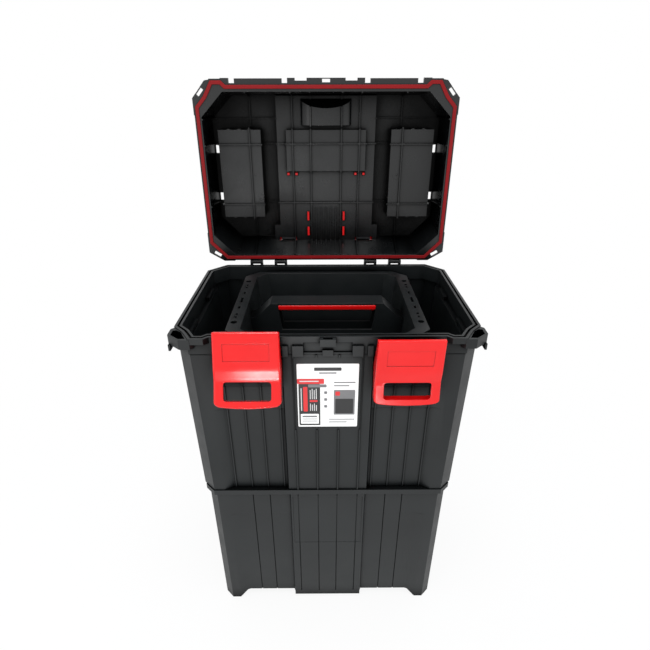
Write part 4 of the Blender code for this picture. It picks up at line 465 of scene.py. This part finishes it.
def make_camera():
    """The photograph's camera."""
    data = bpy.data.cameras.new("camera")
    camera = bpy.data.objects.new("camera", data)
    SCENE.collection.objects.link(camera)
    data.sensor_width = SENSOR_MM
    data.lens = FOCAL_PX / FRAME_PX * SENSOR_MM
    data.shift_x = (FRAME_PX / 2 - CENTRE_PX[0]) / FRAME_PX
    data.shift_y = (CENTRE_PX[1] - FRAME_PX / 2) / FRAME_PX
    data.clip_start, data.clip_end = 0.02, 50
    camera.location = (CAMERA_AT[0], CAMERA_AT[1] + MIDDLE_Y, CAMERA_AT[2])
    camera.rotation_euler = [math.radians(turn) for turn in (90 - CAMERA_DOWN, CAMERA_ROLL, CAMERA_TURN)]
    SCENE.camera = camera


def make_light(name, at, target, size, watts):
    """A soft rectangular lamp."""
    data = bpy.data.lights.new(name, "AREA")
    data.shape = "RECTANGLE"
    data.size, data.size_y = size
    data.energy = watts
    light = bpy.data.objects.new(name, data)
    SCENE.collection.objects.link(light)
    light.location = at
    look_at(light, target)


def seen_directly(tree):
    """1 where a camera, glossy or transmission ray arrives, else 0."""
    path = tree.nodes.new("ShaderNodeLightPath")
    seen = path.outputs["Is Camera Ray"]
    for kind in ("Is Glossy Ray", "Is Transmission Ray"):
        most = tree.nodes.new("ShaderNodeMath")
        most.operation = "MAXIMUM"
        tree.links.new(seen, most.inputs[0])
        tree.links.new(path.outputs[kind], most.inputs[1])
        seen = most.outputs["Value"]
    return seen


def make_world():
    """A pale sky that lights the part, and plain white where it is seen."""
    world = bpy.data.worlds.new("studio")
    SCENE.world = world
    world.use_nodes = True
    tree = world.node_tree
    tree.nodes.clear()
    out = tree.nodes.new("ShaderNodeOutputWorld")
    soft, white = tree.nodes.new("ShaderNodeBackground"), tree.nodes.new("ShaderNodeBackground")
    soft.inputs["Color"].default_value = (*SKY, 1)
    soft.inputs["Strength"].default_value = SKY_STRENGTH
    white.inputs["Color"].default_value = (1, 1, 1, 1)
    white.inputs["Strength"].default_value = 1.0
    mix = tree.nodes.new("ShaderNodeMixShader")
    tree.links.new(seen_directly(tree), mix.inputs["Fac"])
    tree.links.new(soft.outputs["Background"], mix.inputs[1])
    tree.links.new(white.outputs["Background"], mix.inputs[2])
    tree.links.new(mix.outputs["Shader"], out.inputs["Surface"])


def make_stage():
    """A pale floor, part of whose white is its own so that it meets the background, and which keeps the shadow."""
    mesh = bpy.data.meshes.new("floor")
    corners = [(x * FLOOR_HALF, y * FLOOR_HALF, 0) for x, y in ((-1, -1), (1, -1), (1, 1), (-1, 1))]
    mesh.from_pydata(corners, [], [(0, 1, 2, 3)])
    floor = bpy.data.objects.new("floor", mesh)
    SCENE.collection.objects.link(floor)
    floor.location.z = -FLOOR_UNDER
    material = bpy.data.materials.new("floor_paper")
    material.use_nodes = True
    tree = material.node_tree
    shader = tree.nodes["Principled BSDF"]
    shader.inputs["Base Color"].default_value = (FLOOR_SHADE, FLOOR_SHADE, FLOOR_SHADE, 1)
    shader.inputs["Roughness"].default_value = FLOOR_ROUGHNESS
    shader.inputs["Specular IOR Level"].default_value = FLOOR_GLOSS
    add, link = node_tools(material)
    place = add("ShaderNodeTexCoord")
    length = add("ShaderNodeVectorMath", operation="LENGTH")
    link(place.outputs["Object"], length.inputs[0])
    fade = ranged(add, link, length.outputs["Value"], FLOOR_NEAR, FLOOR_FAR, FLOOR_SHARE, 1.0)
    part = add("ShaderNodeMath", operation="MULTIPLY")
    link(seen_directly(tree), part.inputs[0])
    link(fade, part.inputs[1])
    glow = add("ShaderNodeEmission", Strength=1.0)
    mix = add("ShaderNodeMixShader")
    link(part.outputs["Value"], mix.inputs["Fac"])
    link(shader.outputs["BSDF"], mix.inputs[1])
    link(glow.outputs["Emission"], mix.inputs[2])
    link(mix.outputs["Shader"], tree.nodes["Material Output"].inputs["Surface"])
    mesh.materials.append(material)


make_camera()
make_world()
for lamp in LAMPS:
    make_light(*lamp)
make_stage()
make_sticker()
make_marks()
make_bars()

for node, width, steps in SOFT_EDGES:
    piece = softened(node, width, steps)
    if node == "lid_gasket":
        widened(piece, SEAL_SWELL)

SCENE.view_settings.view_transform = "Standard"
